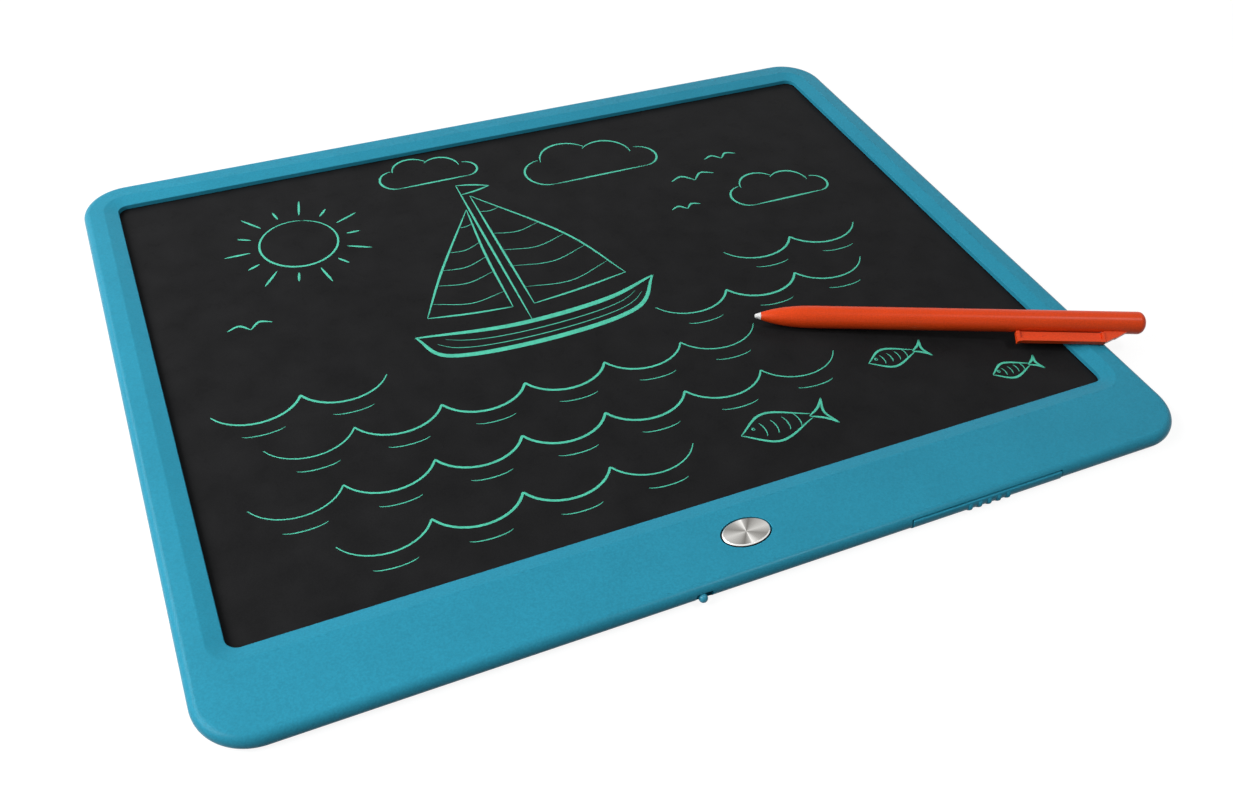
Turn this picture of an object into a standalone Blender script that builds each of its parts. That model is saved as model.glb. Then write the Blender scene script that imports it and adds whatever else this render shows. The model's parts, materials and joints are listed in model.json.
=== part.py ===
"""Drawing tablet: a flat housing round an LCD writing film, with an erase button, a lock slider, a coin
cell under a battery door, and a loose stylus that lies across the film and the right border.

The origin is the centre of the flat back face. +X is the tablet's width, +Y points to its back edge,
+Z points out of the writing film. Lengths are in metres.
"""

import math

import bmesh
import bpy
from mathutils import Matrix, Vector

# Window and the borders round it
WINDOW_WIDTH = 0.3070
WINDOW_DEPTH = 0.2254
WINDOW_CORNER = 0.0040
SIDE_BORDER = 0.0130
BACK_BORDER = 0.0133
FRONT_BORDER = 0.0313
OUTER_CORNER = 0.0175
BAND_WIDTH = 0.0052
BAND_DROP = 0.0013
LIP_HEIGHT = 0.0017

# Walls and edges of the two shells
TOP_WALL = 0.0015
FLOOR = 0.0012
SIDE_WALL = 0.0012
TONGUE_WALL = 0.0008
TONGUE_DROP = 0.0009
RIB_WALL = 0.0015
TOP_ROUND = 0.0028
SEAM_HEIGHT = 0.0032
BOTTOM_ROUND_REACH = 0.0045

# Clearances: between separate pieces, between bonded sheets or soldered parts, and at the shells' seam
GAP = 0.0003
LAYER_GAP = 0.0001
LAYER_GAP_COUNT = 5
SEAM_GAP = 0.0001
OVERRUN = 0.0020
ROOT = 0.0003

# Writing film and what carries it
FILM_THICKNESS = 0.0005
FILM_LAP = 0.0030
TAPE_THICKNESS = 0.00015
TAPE_INSET = 0.0005
BACKING_THICKNESS = 0.0006
LEAST_PAD = 0.00035

# Coin cell and its contacts
CELL_RADIUS = 0.0100
CELL_HEIGHT = 0.0025
CELL_CAN_RADIUS = 0.0088
CELL_STEP = 0.0004
CELL_EDGE = 0.0003
CONTACT_THICKNESS = 0.0002
CONTACT_WIDTH = 0.0030
CONTACT_TAB = 0.0050
CONTACT_PAD_REACH = 0.0020
PLUS_OFFSET = 0.0030
MINUS_OFFSET = 0.0055
NEST_WALL = 0.0010
NEST_DROP = 0.0028
NEST_OPENING_FROM = 126.0
NEST_OPENING_TO = 218.0

# Battery door in the front edge and its captive screw
DOOR_X = 0.0808
DOOR_WIDTH = 0.0580
DOOR_SKIRT = 0.0012
DOOR_PROUD = 0.0003
DOOR_BELOW_TOP = 0.0014
DOOR_EDGE_GAP = 0.00025
DOOR_BACK_MARGIN = 0.0004
HOOK_WIDTH = 0.0060
HOOK_FROM_SIDE = 0.0110
HOOK_THICKNESS = 0.0007
GRIP_COUNT = 5
GRIP_PITCH = 0.0037
GRIP_WIDTH = 0.0014
GRIP_PROUD = 0.0007
GRIP_BELOW_DOOR_TOP = 0.0004
GRIP_ROOT_HEIGHT = 0.0012
DOOR_SCREW_FROM_SIDE = 0.0065
DOOR_SCREW_FROM_FRONT = 0.0072
DOOR_BOSS_HEIGHT = 0.0010
CURB_HEIGHT = 0.0008
CURB_WALL = 0.0010

# Screws
SCREW_SHANK_RADIUS = 0.0008
SCREW_HEAD_RADIUS = 0.0017
SCREW_HEAD_HEIGHT = 0.0008
SCREW_SINK = 0.0002
SCREW_WEB = 0.0008
SCREW_TIP_MARGIN = 0.0004
SCREW_RECESS_LENGTH = 0.0022
SCREW_RECESS_WIDTH = 0.0005
SCREW_RECESS_DEPTH = 0.0004
POST_WALL = 0.0012
BOSS_WALL = 0.0006
SCREW_INSET = 0.0050
FRONT_SCREW_SHARE = 0.42

# Erase button and the switch under it
BUTTON_FROM_FRONT = 0.0151
BUTTON_HALF_WIDTH = 0.0084
BUTTON_HALF_DEPTH = 0.0055
BUTTON_RING_GAP = 0.0004
BUTTON_PROUD = 0.00035
BUTTON_CAP_THICKNESS = 0.0006
BUTTON_CAP_BEVEL = 0.00035
BUTTON_FLANGE_WIDTH = 0.0013
BUTTON_FLANGE_THICKNESS = 0.0006
TACT_SIZE = 0.0052
TACT_HEIGHT = 0.0008
TACT_BASE = 0.00015
TACT_PLUNGER_RADIUS = 0.0010
BUTTON_TRAVEL = 0.0003

# Circuit board
BOARD_THICKNESS = 0.0008
BOARD_LEFT = -0.0360
BOARD_RIGHT = 0.0400
BOARD_FRONT_MARGIN = 0.0046
BOARD_BACK_MARGIN = 0.0018
BOARD_CORNER = 0.0010
BOARD_PIN_RADIUS = 0.0007
BOARD_PIN_INSET = 0.0035
BOARD_PIN_RISE = 0.0015
CHIP_X = 0.0240
CHIP_FROM_BACK = 0.0085
CHIP_SIZE = 0.0050
CHIP_HEIGHT = 0.0009
CAPACITOR_LENGTH = 0.0032
CAPACITOR_WIDTH = 0.0016
CAPACITOR_HEIGHT = 0.0013
CAPACITOR_COUNT = 3
CAPACITOR_X = 0.0125
CAPACITOR_PITCH = 0.0045
CAPACITOR_FROM_FRONT = 0.0045
COMPONENT_BEVEL = 0.0002

# Lock slider in the front edge and its switch on the board
LOCK_SLOT_X = -0.0213
LOCK_SLOT_WIDTH = 0.0056
LOCK_SLOT_HEIGHT = 0.0032
LOCK_HEIGHT = 0.0028
LOCK_TRAVEL = 0.0015
LOCK_PIN_RADIUS = 0.00142
LOCK_BALL_OUT = 0.0003
LOCK_PLATE_LAP = 0.0010
LOCK_PLATE_THICKNESS = 0.0008
LOCK_LUG_WIDTH = 0.0012
LOCK_LUG_REACH = 0.0018
LOCK_LUG_THICKNESS = 0.0007
SWITCH_WIDTH = 0.0067
SWITCH_DEPTH = 0.0030
SWITCH_HEIGHT = 0.0014
SWITCH_SLOT_FLOOR = 0.0005

# Film tail and battery leads
TAIL_WIDTH = 0.0080
TAIL_THICKNESS = 0.0002
TAIL_X = 0.0200
TAIL_LAP = 0.0030
LEAD_RADIUS = 0.00045
LEAD_LANDING_INSET = 0.0030
LEAD_SPACING = 0.0030
LEAD_SWAY = 0.0016
LEAD_STEPS = 16

# Stylus, lying on the film near its tip and on the right border
STYLUS_LENGTH = 0.1430
STYLUS_RADIUS = 0.00415
STYLUS_TIP_FROM_RIGHT = 0.1018
STYLUS_TIP_FROM_FRONT = 0.0740
STYLUS_HEADING = -24.85
NOSE_LENGTH = 0.0240
NOSE_FULLNESS = 2.7
DOME_LENGTH = 0.0028
TIP_LENGTH = 0.0023
TIP_BASE_RADIUS = 0.0014
TIP_END_RADIUS = 0.0007
TIP_SPIGOT_RADIUS = 0.0009
TIP_SPIGOT_LENGTH = 0.0040
CLIP_LENGTH = 0.0320
CLIP_FOOT_LENGTH = 0.0085
CLIP_TO_BARREL_END = 0.0074
CLIP_REACH = 0.0087
CLIP_SLIT = 0.00045
CLIP_WIDTH = 0.0022
CLIP_NIB = 0.0005
CLIP_NIB_LENGTH = 0.0020
CLIP_FOOT_STEP_SHARE = 0.45
CLIP_FOOT_RISE_SHARE = 0.45

# Facets of round shapes, and the angle in degrees from which an edge stays sharp
SHARP_ANGLE = 35
CORNER_STEPS = 10
EDGE_STEPS = 5
BUTTON_SIDES = 40
CELL_SIDES = 40
SCREW_SIDES = 14
BARREL_SIDES = 24
NOSE_STEPS = 8
DOME_STEPS = 5
PIN_SIDES = 16

# What follows from the sizes above, seen from the back face up
BAY_STACK = FLOOR + GAP + CELL_HEIGHT + GAP + CONTACT_THICKNESS + GAP + TOP_WALL
FILM_STACK = (FLOOR + LEAST_PAD + BACKING_THICKNESS + FILM_THICKNESS + TAPE_THICKNESS
              + LAYER_GAP_COUNT * LAYER_GAP + LIP_HEIGHT + BAND_DROP)
THICKNESS = max(BAY_STACK, FILM_STACK)
HALF_WIDTH = WINDOW_WIDTH / 2 + SIDE_BORDER
HALF_DEPTH = (FRONT_BORDER + WINDOW_DEPTH + BACK_BORDER) / 2
WINDOW_Y = (FRONT_BORDER - BACK_BORDER) / 2
CEILING = THICKNESS - TOP_WALL
LIP_TOP = THICKNESS - BAND_DROP
LIP_UNDERSIDE = LIP_TOP - LIP_HEIGHT
TAPE_TOP = LIP_UNDERSIDE - LAYER_GAP
FILM_TOP = TAPE_TOP - TAPE_THICKNESS - LAYER_GAP
BACKING_TOP = FILM_TOP - FILM_THICKNESS - LAYER_GAP
PAD_TOP = BACKING_TOP - BACKING_THICKNESS - LAYER_GAP
PAD_BOTTOM = FLOOR + LAYER_GAP
BEZEL_FOOT = SEAM_HEIGHT + SEAM_GAP
TOP_EDGE_ROUND = min(TOP_ROUND, THICKNESS - BEZEL_FOOT)
TONGUE_FOOT = BEZEL_FOOT - TONGUE_DROP
TONGUE_INSET = SIDE_WALL + GAP
INNER_INSET = TONGUE_INSET + TONGUE_WALL
POCKET_OFFSET = FILM_LAP + GAP
RIB_OFFSET = POCKET_OFFSET + RIB_WALL
RIB_FRONT_Y = WINDOW_Y - WINDOW_DEPTH / 2 - RIB_OFFSET
BOARD_BOTTOM = FLOOR + GAP
BOARD_TOP = BOARD_BOTTOM + BOARD_THICKNESS
BOARD_FRONT_Y = -HALF_DEPTH + BOARD_FRONT_MARGIN
BOARD_BACK_Y = RIB_FRONT_Y - BOARD_BACK_MARGIN
MOUNTED = BOARD_TOP + LAYER_GAP
CELL_BOTTOM = FLOOR + GAP
CONTACT_TOP = CEILING - GAP
CELL_Y = -HALF_DEPTH + INNER_INSET + NEST_WALL + CELL_RADIUS + GAP
DOOR_TOP = THICKNESS - DOOR_BELOW_TOP
DOOR_PIVOT = Vector((DOOR_X, RIB_FRONT_Y - DOOR_BACK_MARGIN - GAP - FLOOR, FLOOR / 2))


def material(name, colour, roughness, metallic=0.0):
    """A plain surface of one colour."""
    made = bpy.data.materials.new(name)
    made.use_nodes = True
    shader = made.node_tree.nodes["Principled BSDF"]
    shader.inputs["Base Color"].default_value = (*colour, 1.0)
    shader.inputs["Roughness"].default_value = roughness
    shader.inputs["Metallic"].default_value = metallic
    made.diffuse_color = (*colour, 1.0)
    return made


def finish_mesh(name, mesh_data, surface):
    """Turns a bmesh into an object with outward faces and smooth shading up to a crease."""
    bmesh.ops.recalc_face_normals(mesh_data, faces=mesh_data.faces)
    mesh = bpy.data.meshes.new(name)
    mesh_data.to_mesh(mesh)
    mesh_data.free()
    mesh.shade_smooth()
    mesh.set_sharp_from_angle(angle=math.radians(SHARP_ANGLE))
    made = bpy.data.objects.new(name, mesh)
    bpy.context.scene.collection.objects.link(made)
    if surface:
        mesh.materials.append(surface)
    return made


def add_rings(mesh_data, rings, closed=False):
    """Skins a row of rings with equal point counts, capped at both ends or joined end to end."""
    loops = [[mesh_data.verts.new(point) for point in ring] for ring in rings]
    pairs = list(zip(loops, loops[1:]))
    if closed:
        pairs.append((loops[-1], loops[0]))
    else:
        mesh_data.faces.new(loops[0])
        mesh_data.faces.new(loops[-1])
    for lower, upper in pairs:
        for index, point in enumerate(lower):
            after = (index + 1) % len(lower)
            mesh_data.faces.new((point, lower[after], upper[after], upper[index]))


def ring_solid(name, rings, surface, closed=False):
    """One solid skinned over its rings."""
    mesh_data = bmesh.new()
    add_rings(mesh_data, rings, closed)
    return finish_mesh(name, mesh_data, surface)


def joined_solids(name, ring_lists, surface=None):
    """Several separate closed solids in one object, for a tool that adds to or cuts another."""
    mesh_data = bmesh.new()
    for rings in ring_lists:
        add_rings(mesh_data, rings)
    return finish_mesh(name, mesh_data, surface)


def combine(target, tool, operation):
    """Adds the tool's solids to the target or cuts them out of it."""
    modifier = target.modifiers.new(tool.name, "BOOLEAN")
    modifier.operation = operation
    modifier.solver = "EXACT"
    modifier.object = tool
    tool.hide_render = True
    tool.display_type = "WIRE"


def set_origin(made, point):
    """Moves an object's origin without moving its shape."""
    made.data.transform(Matrix.Translation(-Vector(point)))
    made.location = point


def rounded_outline(low, high, radius, steps=CORNER_STEPS):
    """Points of a rectangle with round corners, from corner to opposite corner, in two coordinates."""
    corners = (
        (high[0] - radius, low[1] + radius, -90),
        (high[0] - radius, high[1] - radius, 0),
        (low[0] + radius, high[1] - radius, 90),
        (low[0] + radius, low[1] + radius, 180),
    )
    points = []
    for across, along, start in corners:
        for step in range(steps + 1):
            angle = math.radians(start + 90 * step / steps)
            points.append((across + radius * math.cos(angle), along + radius * math.sin(angle)))
    return points


def circle_outline(centre, radius, sides):
    """Points of a circle in two coordinates."""
    angles = [2 * math.pi * side / sides for side in range(sides)]
    return [(centre[0] + radius * math.cos(a), centre[1] + radius * math.sin(a)) for a in angles]


def button_ring(outset, height):
    """The outline of the button's oval hole, widened by the outset, at a height."""
    angles = [2 * math.pi * side / BUTTON_SIDES for side in range(BUTTON_SIDES)]
    half_width = BUTTON_HALF_WIDTH + outset
    half_depth = BUTTON_HALF_DEPTH + outset
    middle = -HALF_DEPTH + BUTTON_FROM_FRONT
    return [(half_width * math.cos(a), middle + half_depth * math.sin(a), height) for a in angles]


def box_outline(low, high):
    """The four corners of a rectangle."""
    return [(low[0], low[1]), (high[0], low[1]), (high[0], high[1]), (low[0], high[1])]


def standing(outline, low, high):
    """Two rings of a prism whose outline lies in X and Y and which stands along Z."""
    return [[(x, y, z) for x, y in outline] for z in (low, high)]


def sideways(outline, low, high):
    """Two rings of a prism whose outline lies in Y and Z and which runs along X."""
    return [[(x, y, z) for y, z in outline] for x in (low, high)]


def inward(outline, low, high):
    """Two rings of a prism whose outline lies in X and Z and which runs along Y."""
    return [[(x, y, z) for x, z in outline] for y in (low, high)]


def block(low, high):
    """Rings of a box between two corners."""
    return standing(box_outline(low, high), low[2], high[2])


def turned(profile, centre, sides):
    """Rings of a turned solid about a vertical axis; the profile is radius and height."""
    return [[(x, y, height) for x, y in circle_outline(centre, radius, sides)] for radius, height in profile]


def outer_ring(inset, height):
    """The tablet's outline, drawn in by the inset, at a height."""
    low = (-HALF_WIDTH + inset, -HALF_DEPTH + inset)
    high = (HALF_WIDTH - inset, HALF_DEPTH - inset)
    return [(x, y, height) for x, y in rounded_outline(low, high, OUTER_CORNER - inset)]


def window_ring(offset, height):
    """The window's outline, widened by the offset, at a height."""
    low = (-WINDOW_WIDTH / 2 - offset, WINDOW_Y - WINDOW_DEPTH / 2 - offset)
    high = (WINDOW_WIDTH / 2 + offset, WINDOW_Y + WINDOW_DEPTH / 2 + offset)
    return [(x, y, height) for x, y in rounded_outline(low, high, WINDOW_CORNER + offset)]


def bottom_inset(height):
    """How far the rounded underside edge lies inside the outline at a height below the seam."""
    rise = min(1.0, height / SEAM_HEIGHT)
    return BOTTOM_ROUND_REACH * (1 - math.sqrt(1 - (1 - rise) ** 2))


def bottom_edge():
    """Inset and height of the underside's round edge, from the flat back face up to the seam."""
    turns = [math.pi / 2 * step / EDGE_STEPS for step in range(EDGE_STEPS + 1)]
    return [(BOTTOM_ROUND_REACH * (1 - math.sin(t)), SEAM_HEIGHT * (1 - math.cos(t))) for t in turns]


def top_edge(highest=THICKNESS):
    """Inset and height of the top's round edge, from where it starts up to a height."""
    foot = THICKNESS - TOP_EDGE_ROUND
    last = math.asin(min(1.0, (highest - foot) / TOP_EDGE_ROUND))
    turns = [last * step / EDGE_STEPS for step in range(EDGE_STEPS + 1)]
    return [(TOP_EDGE_ROUND * (1 - math.cos(t)), foot + TOP_EDGE_ROUND * math.sin(t)) for t in turns]


def screw_places():
    """Centres of the housing screws: four corners, both sides, the back and the front."""
    corner = (OUTER_CORNER - SCREW_INSET) / math.sqrt(2)
    corner_x = HALF_WIDTH - OUTER_CORNER + corner
    corner_y = HALF_DEPTH - OUTER_CORNER + corner
    side_x = HALF_WIDTH - SCREW_INSET
    end_y = HALF_DEPTH - SCREW_INSET
    corners = [(x, y) for x in (-corner_x, corner_x) for y in (-corner_y, corner_y)]
    sides = [(-side_x, WINDOW_Y), (side_x, WINDOW_Y)]
    ends = [(0, end_y), (-HALF_WIDTH * FRONT_SCREW_SHARE, -end_y)]
    return corners + sides + ends


def door_screw_place():
    """Centre of the battery door's screw."""
    return (DOOR_X + DOOR_WIDTH / 2 - DOOR_SCREW_FROM_SIDE, -HALF_DEPTH + DOOR_SCREW_FROM_FRONT)


def board_pin_places():
    """Centres of the two pins that hold the circuit board in place."""
    return [
        (BOARD_LEFT + BOARD_PIN_INSET, BOARD_BACK_Y - BOARD_PIN_INSET),
        (BOARD_RIGHT - BOARD_PIN_INSET, BOARD_FRONT_Y + BOARD_PIN_INSET),
    ]


def nest_ring(radius, height):
    """The open ring round the coin cell, as an arc that leaves its left side free for the contacts."""
    start = math.radians(NEST_OPENING_TO - 360)
    sweep = math.radians(NEST_OPENING_FROM) - start
    inner = CELL_RADIUS + GAP
    arc = [start + sweep * step / CELL_SIDES for step in range(CELL_SIDES + 1)]
    outside = [(DOOR_X + radius * math.cos(a), CELL_Y + radius * math.sin(a), height) for a in arc]
    inside = [(DOOR_X + inner * math.cos(a), CELL_Y + inner * math.sin(a), height) for a in reversed(arc)]
    return outside + inside


def lock_slot(inset_from, inset_to):
    """Rings of the lock slider's slot through the front wall."""
    half_width = LOCK_SLOT_WIDTH / 2
    half_height = LOCK_SLOT_HEIGHT / 2
    outline = rounded_outline(
        (LOCK_SLOT_X - half_width, LOCK_HEIGHT - half_height),
        (LOCK_SLOT_X + half_width, LOCK_HEIGHT + half_height),
        LOCK_PIN_RADIUS / 2,
        EDGE_STEPS,
    )
    return inward(outline, -HALF_DEPTH + inset_from, -HALF_DEPTH + inset_to)


def door_opening(bottom, top, back):
    """Rings of the space that the battery door fills, with its clearance."""
    half_width = DOOR_WIDTH / 2 + DOOR_EDGE_GAP
    low = (DOOR_X - half_width, -HALF_DEPTH - OVERRUN, bottom)
    return block(low, (DOOR_X + half_width, back, top))


def make_front_bezel(surface):
    """Top shell: frame with a sloped band round the window, a locating tongue and a rib round the film."""
    rings = [outer_ring(0, BEZEL_FOOT)]
    rings += [outer_ring(inset, height) for inset, height in top_edge()]
    rings += [
        window_ring(BAND_WIDTH, THICKNESS),
        window_ring(0, LIP_TOP),
        window_ring(0, LIP_UNDERSIDE),
        window_ring(POCKET_OFFSET, LIP_UNDERSIDE),
        window_ring(POCKET_OFFSET, TONGUE_FOOT),
        window_ring(RIB_OFFSET, TONGUE_FOOT),
        window_ring(RIB_OFFSET, CEILING),
        outer_ring(INNER_INSET, CEILING),
        outer_ring(INNER_INSET, TONGUE_FOOT),
        outer_ring(TONGUE_INSET, TONGUE_FOOT),
        outer_ring(TONGUE_INSET, BEZEL_FOOT),
    ]
    bezel = ring_solid("front_bezel", rings, surface, closed=True)

    root = CEILING + ROOT
    post_radius = SCREW_SHANK_RADIUS + GAP + POST_WALL
    boss_top = SCREW_SINK + SCREW_HEAD_HEIGHT + GAP + SCREW_WEB
    posts = [
        standing(circle_outline(place, post_radius, SCREW_SIDES), boss_top + GAP, root)
        for place in screw_places()
    ]
    door_post_foot = FLOOR + DOOR_BOSS_HEIGHT + GAP
    door_post = circle_outline(door_screw_place(), post_radius, SCREW_SIDES)
    posts.append(standing(door_post, door_post_foot, root))
    combine(bezel, joined_solids("bezel_posts", posts), "UNION")
    nest_radius = CELL_RADIUS + GAP + NEST_WALL
    nest = [nest_ring(nest_radius, CEILING - NEST_DROP), nest_ring(nest_radius, root)]
    combine(bezel, joined_solids("bezel_nest", [nest]), "UNION")

    shank_hole = SCREW_SHANK_RADIUS + GAP
    cuts = [
        standing(circle_outline(place, shank_hole, SCREW_SIDES), boss_top - OVERRUN, CEILING)
        for place in screw_places()
    ]
    door_hole = circle_outline(door_screw_place(), shank_hole, SCREW_SIDES)
    cuts.append(standing(door_hole, door_post_foot - OVERRUN, CEILING))
    cuts.append([button_ring(0, CEILING - OVERRUN), button_ring(0, THICKNESS + OVERRUN)])
    cuts.append(lock_slot(-OVERRUN, INNER_INSET + GAP))
    skirt_back = -HALF_DEPTH + INNER_INSET + GAP
    cuts.append(door_opening(-OVERRUN, DOOR_TOP + DOOR_EDGE_GAP, skirt_back))
    half_tail = TAIL_WIDTH / 2 + GAP
    tail_low = (TAIL_X - half_tail, RIB_FRONT_Y - OVERRUN, TONGUE_FOOT - OVERRUN)
    tail_high = (TAIL_X + half_tail, RIB_FRONT_Y + RIB_WALL, LIP_UNDERSIDE)
    cuts.append(block(tail_low, tail_high))
    combine(bezel, joined_solids("bezel_cuts", cuts), "DIFFERENCE")
    return bezel


def make_back_cover(surface):
    """Bottom shell: a shallow tray with a round edge, screw bosses, board pins and the battery opening."""
    rings = [outer_ring(inset, height) for inset, height in bottom_edge()]
    wall_height = SEAM_HEIGHT - FLOOR
    heights = [SEAM_HEIGHT - wall_height * step / EDGE_STEPS for step in range(EDGE_STEPS + 1)]
    rings += [outer_ring(SIDE_WALL + bottom_inset(height), height) for height in heights]
    cover = ring_solid("back_cover", rings, surface)

    root = FLOOR - ROOT
    head_hole = SCREW_HEAD_RADIUS + GAP
    head_top = SCREW_SINK + SCREW_HEAD_HEIGHT + GAP
    boss_top = head_top + SCREW_WEB
    bosses = [
        standing(circle_outline(place, head_hole + BOSS_WALL, SCREW_SIDES), root, boss_top)
        for place in screw_places()
    ]
    pin_top = BOARD_TOP + BOARD_PIN_RISE
    bosses += [
        standing(circle_outline(place, BOARD_PIN_RADIUS, SCREW_SIDES), root, pin_top)
        for place in board_pin_places()
    ]
    combine(cover, joined_solids("cover_bosses", bosses), "UNION")
    curb_from = DOOR_WIDTH / 2 + DOOR_EDGE_GAP
    curb_front = -HALF_DEPTH + INNER_INSET + GAP
    for side, sign in (("left", -1), ("right", 1)):
        edges = sorted((DOOR_X + sign * curb_from, DOOR_X + sign * (curb_from + CURB_WALL)))
        curb = block((edges[0], curb_front, root), (edges[1], DOOR_PIVOT.y, FLOOR + CURB_HEIGHT))
        combine(cover, joined_solids("cover_curb_" + side, [curb]), "UNION")

    shank_hole = SCREW_SHANK_RADIUS + GAP
    cuts = []
    screw_way = [
        (head_hole, -OVERRUN),
        (head_hole, head_top),
        (shank_hole, head_top),
        (shank_hole, boss_top + OVERRUN),
    ]
    for place in screw_places():
        cuts.append(turned(screw_way, place, SCREW_SIDES))
    cuts.append(lock_slot(-OVERRUN, INNER_INSET + GAP))
    opening_back = DOOR_PIVOT.y + FLOOR / 2 + GAP
    cuts.append(door_opening(-OVERRUN, SEAM_HEIGHT + OVERRUN, opening_back))
    combine(cover, joined_solids("cover_cuts", cuts), "DIFFERENCE")
    return cover


def make_sheet(name, offset, low, high, surface):
    """A flat sheet with the window's outline, widened by the offset."""
    return ring_solid(name, [window_ring(offset, low), window_ring(offset, high)], surface)


def make_tape(surface):
    """Frame of adhesive tape between the bezel's lip and the film."""
    bottom = TAPE_TOP - TAPE_THICKNESS
    rings = [
        window_ring(TAPE_INSET, bottom),
        window_ring(TAPE_INSET, TAPE_TOP),
        window_ring(FILM_LAP, TAPE_TOP),
        window_ring(FILM_LAP, bottom),
    ]
    return ring_solid("film_tape", rings, surface, closed=True)


def make_board(surface):
    """Circuit board with two holes for the cover's pins."""
    low = (BOARD_LEFT, BOARD_FRONT_Y)
    high = (BOARD_RIGHT, BOARD_BACK_Y)
    outline = rounded_outline(low, high, BOARD_CORNER, EDGE_STEPS)
    board = ring_solid("circuit_board", standing(outline, BOARD_BOTTOM, BOARD_TOP), surface)
    holes = [
        standing(circle_outline(place, BOARD_PIN_RADIUS + GAP, SCREW_SIDES), -OVERRUN, BOARD_TOP + OVERRUN)
        for place in board_pin_places()
    ]
    combine(board, joined_solids("board_holes", holes), "DIFFERENCE")
    return board


def make_component(name, x, y, size, height, surface):
    """A soldered component with softened edges."""
    low = (x - size[0] / 2, y - size[1] / 2, MOUNTED)
    high = (x + size[0] / 2, y + size[1] / 2, MOUNTED + height)
    made = ring_solid(name, block(low, high), surface)
    bevel = made.modifiers.new("edges", "BEVEL")
    bevel.width = COMPONENT_BEVEL
    bevel.segments = 1
    return made


def make_button(metal, plastic):
    """Oval erase button: a moulded disc with a flange below the bezel, and the metal cap on it."""
    flange_top = CEILING - GAP
    flange_bottom = flange_top - BUTTON_FLANGE_THICKNESS
    cap_top = THICKNESS + BUTTON_PROUD
    cap_bottom = cap_top - BUTTON_CAP_THICKNESS
    base_rings = [
        button_ring(BUTTON_FLANGE_WIDTH, flange_bottom),
        button_ring(BUTTON_FLANGE_WIDTH, flange_top),
        button_ring(-BUTTON_RING_GAP, flange_top),
        button_ring(-BUTTON_RING_GAP, cap_bottom - LAYER_GAP),
    ]
    base = ring_solid("erase_button", base_rings, plastic)
    cap_rings = [
        button_ring(-BUTTON_RING_GAP, cap_bottom),
        button_ring(-BUTTON_RING_GAP, cap_top - BUTTON_CAP_BEVEL),
        button_ring(-BUTTON_RING_GAP - BUTTON_CAP_BEVEL, cap_top),
    ]
    cap = ring_solid("button_cap", cap_rings, metal)
    for piece in (base, cap):
        set_origin(piece, (0, -HALF_DEPTH + BUTTON_FROM_FRONT, flange_bottom))
    return flange_bottom - GAP


def make_tact_switch(plunger_top, body_surface, plunger_surface):
    """Low tact switch under the button: a square body and the plunger in its bore."""
    centre = (0, -HALF_DEPTH + BUTTON_FROM_FRONT)
    body = make_component("tact_switch", *centre, (TACT_SIZE, TACT_SIZE), TACT_HEIGHT, body_surface)
    bore_floor = MOUNTED + TACT_BASE
    bore = circle_outline(centre, TACT_PLUNGER_RADIUS + GAP, PIN_SIDES)
    bore_top = MOUNTED + TACT_HEIGHT + OVERRUN
    combine(body, joined_solids("tact_bore", [standing(bore, bore_floor, bore_top)]), "DIFFERENCE")
    foot = bore_floor + BUTTON_TRAVEL + LAYER_GAP
    profile = [(TACT_PLUNGER_RADIUS, foot), (TACT_PLUNGER_RADIUS, plunger_top)]
    plunger = ring_solid("tact_plunger", turned(profile, centre, PIN_SIDES), plunger_surface)
    set_origin(plunger, (*centre, foot))


def make_lock(slider_surface, switch_surface):
    """Lock slider, shown at the left end of its travel, and the slide switch that it works."""
    pin_x = LOCK_SLOT_X - LOCK_TRAVEL / 2
    plate_front = -HALF_DEPTH + INNER_INSET + GAP
    plate_back = plate_front + LOCK_PLATE_THICKNESS
    half_plate = (LOCK_SLOT_WIDTH + LOCK_TRAVEL) / 2 + LOCK_PLATE_LAP
    slot_middle = MOUNTED + SWITCH_SLOT_FLOOR + GAP
    plate_bottom = FLOOR + GAP
    plate_top = CEILING - GAP
    plate_low = (pin_x - half_plate, plate_front, plate_bottom)
    plate_high = (pin_x + half_plate, plate_back, plate_top)
    slider = ring_solid("lock_slider", block(plate_low, plate_high), slider_surface)

    ball_y = -HALF_DEPTH - LOCK_BALL_OUT
    turns = [math.pi / 2 * step / DOME_STEPS for step in range(DOME_STEPS)]
    profile = [(LOCK_PIN_RADIUS, plate_front + ROOT)]
    profile += [(LOCK_PIN_RADIUS * math.cos(t), ball_y - LOCK_PIN_RADIUS * math.sin(t)) for t in turns]
    pin = [
        [(x, y, z) for x, z in circle_outline((pin_x, LOCK_HEIGHT), radius, PIN_SIDES)]
        for radius, y in profile
    ]
    lug_low = (pin_x - LOCK_LUG_WIDTH / 2, plate_back - ROOT, slot_middle)
    lug_high = (pin_x + LOCK_LUG_WIDTH / 2, plate_back + LOCK_LUG_REACH, slot_middle + LOCK_LUG_THICKNESS)
    combine(slider, joined_solids("slider_pin", [pin, block(lug_low, lug_high)]), "UNION")
    set_origin(slider, (pin_x, plate_front, LOCK_HEIGHT))

    switch_y = plate_back + GAP + SWITCH_DEPTH / 2
    switch = make_component(
        "slide_switch", LOCK_SLOT_X, switch_y, (SWITCH_WIDTH, SWITCH_DEPTH), SWITCH_HEIGHT, switch_surface
    )
    half_groove = (LOCK_LUG_WIDTH + LOCK_TRAVEL) / 2 + GAP
    groove_back = plate_back + LOCK_LUG_REACH + GAP
    groove_top = MOUNTED + SWITCH_HEIGHT + OVERRUN
    groove_low = (LOCK_SLOT_X - half_groove, plate_back, MOUNTED + SWITCH_SLOT_FLOOR)
    groove_high = (LOCK_SLOT_X + half_groove, groove_back, groove_top)
    combine(switch, joined_solids("switch_groove", [block(groove_low, groove_high)]), "DIFFERENCE")


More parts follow.
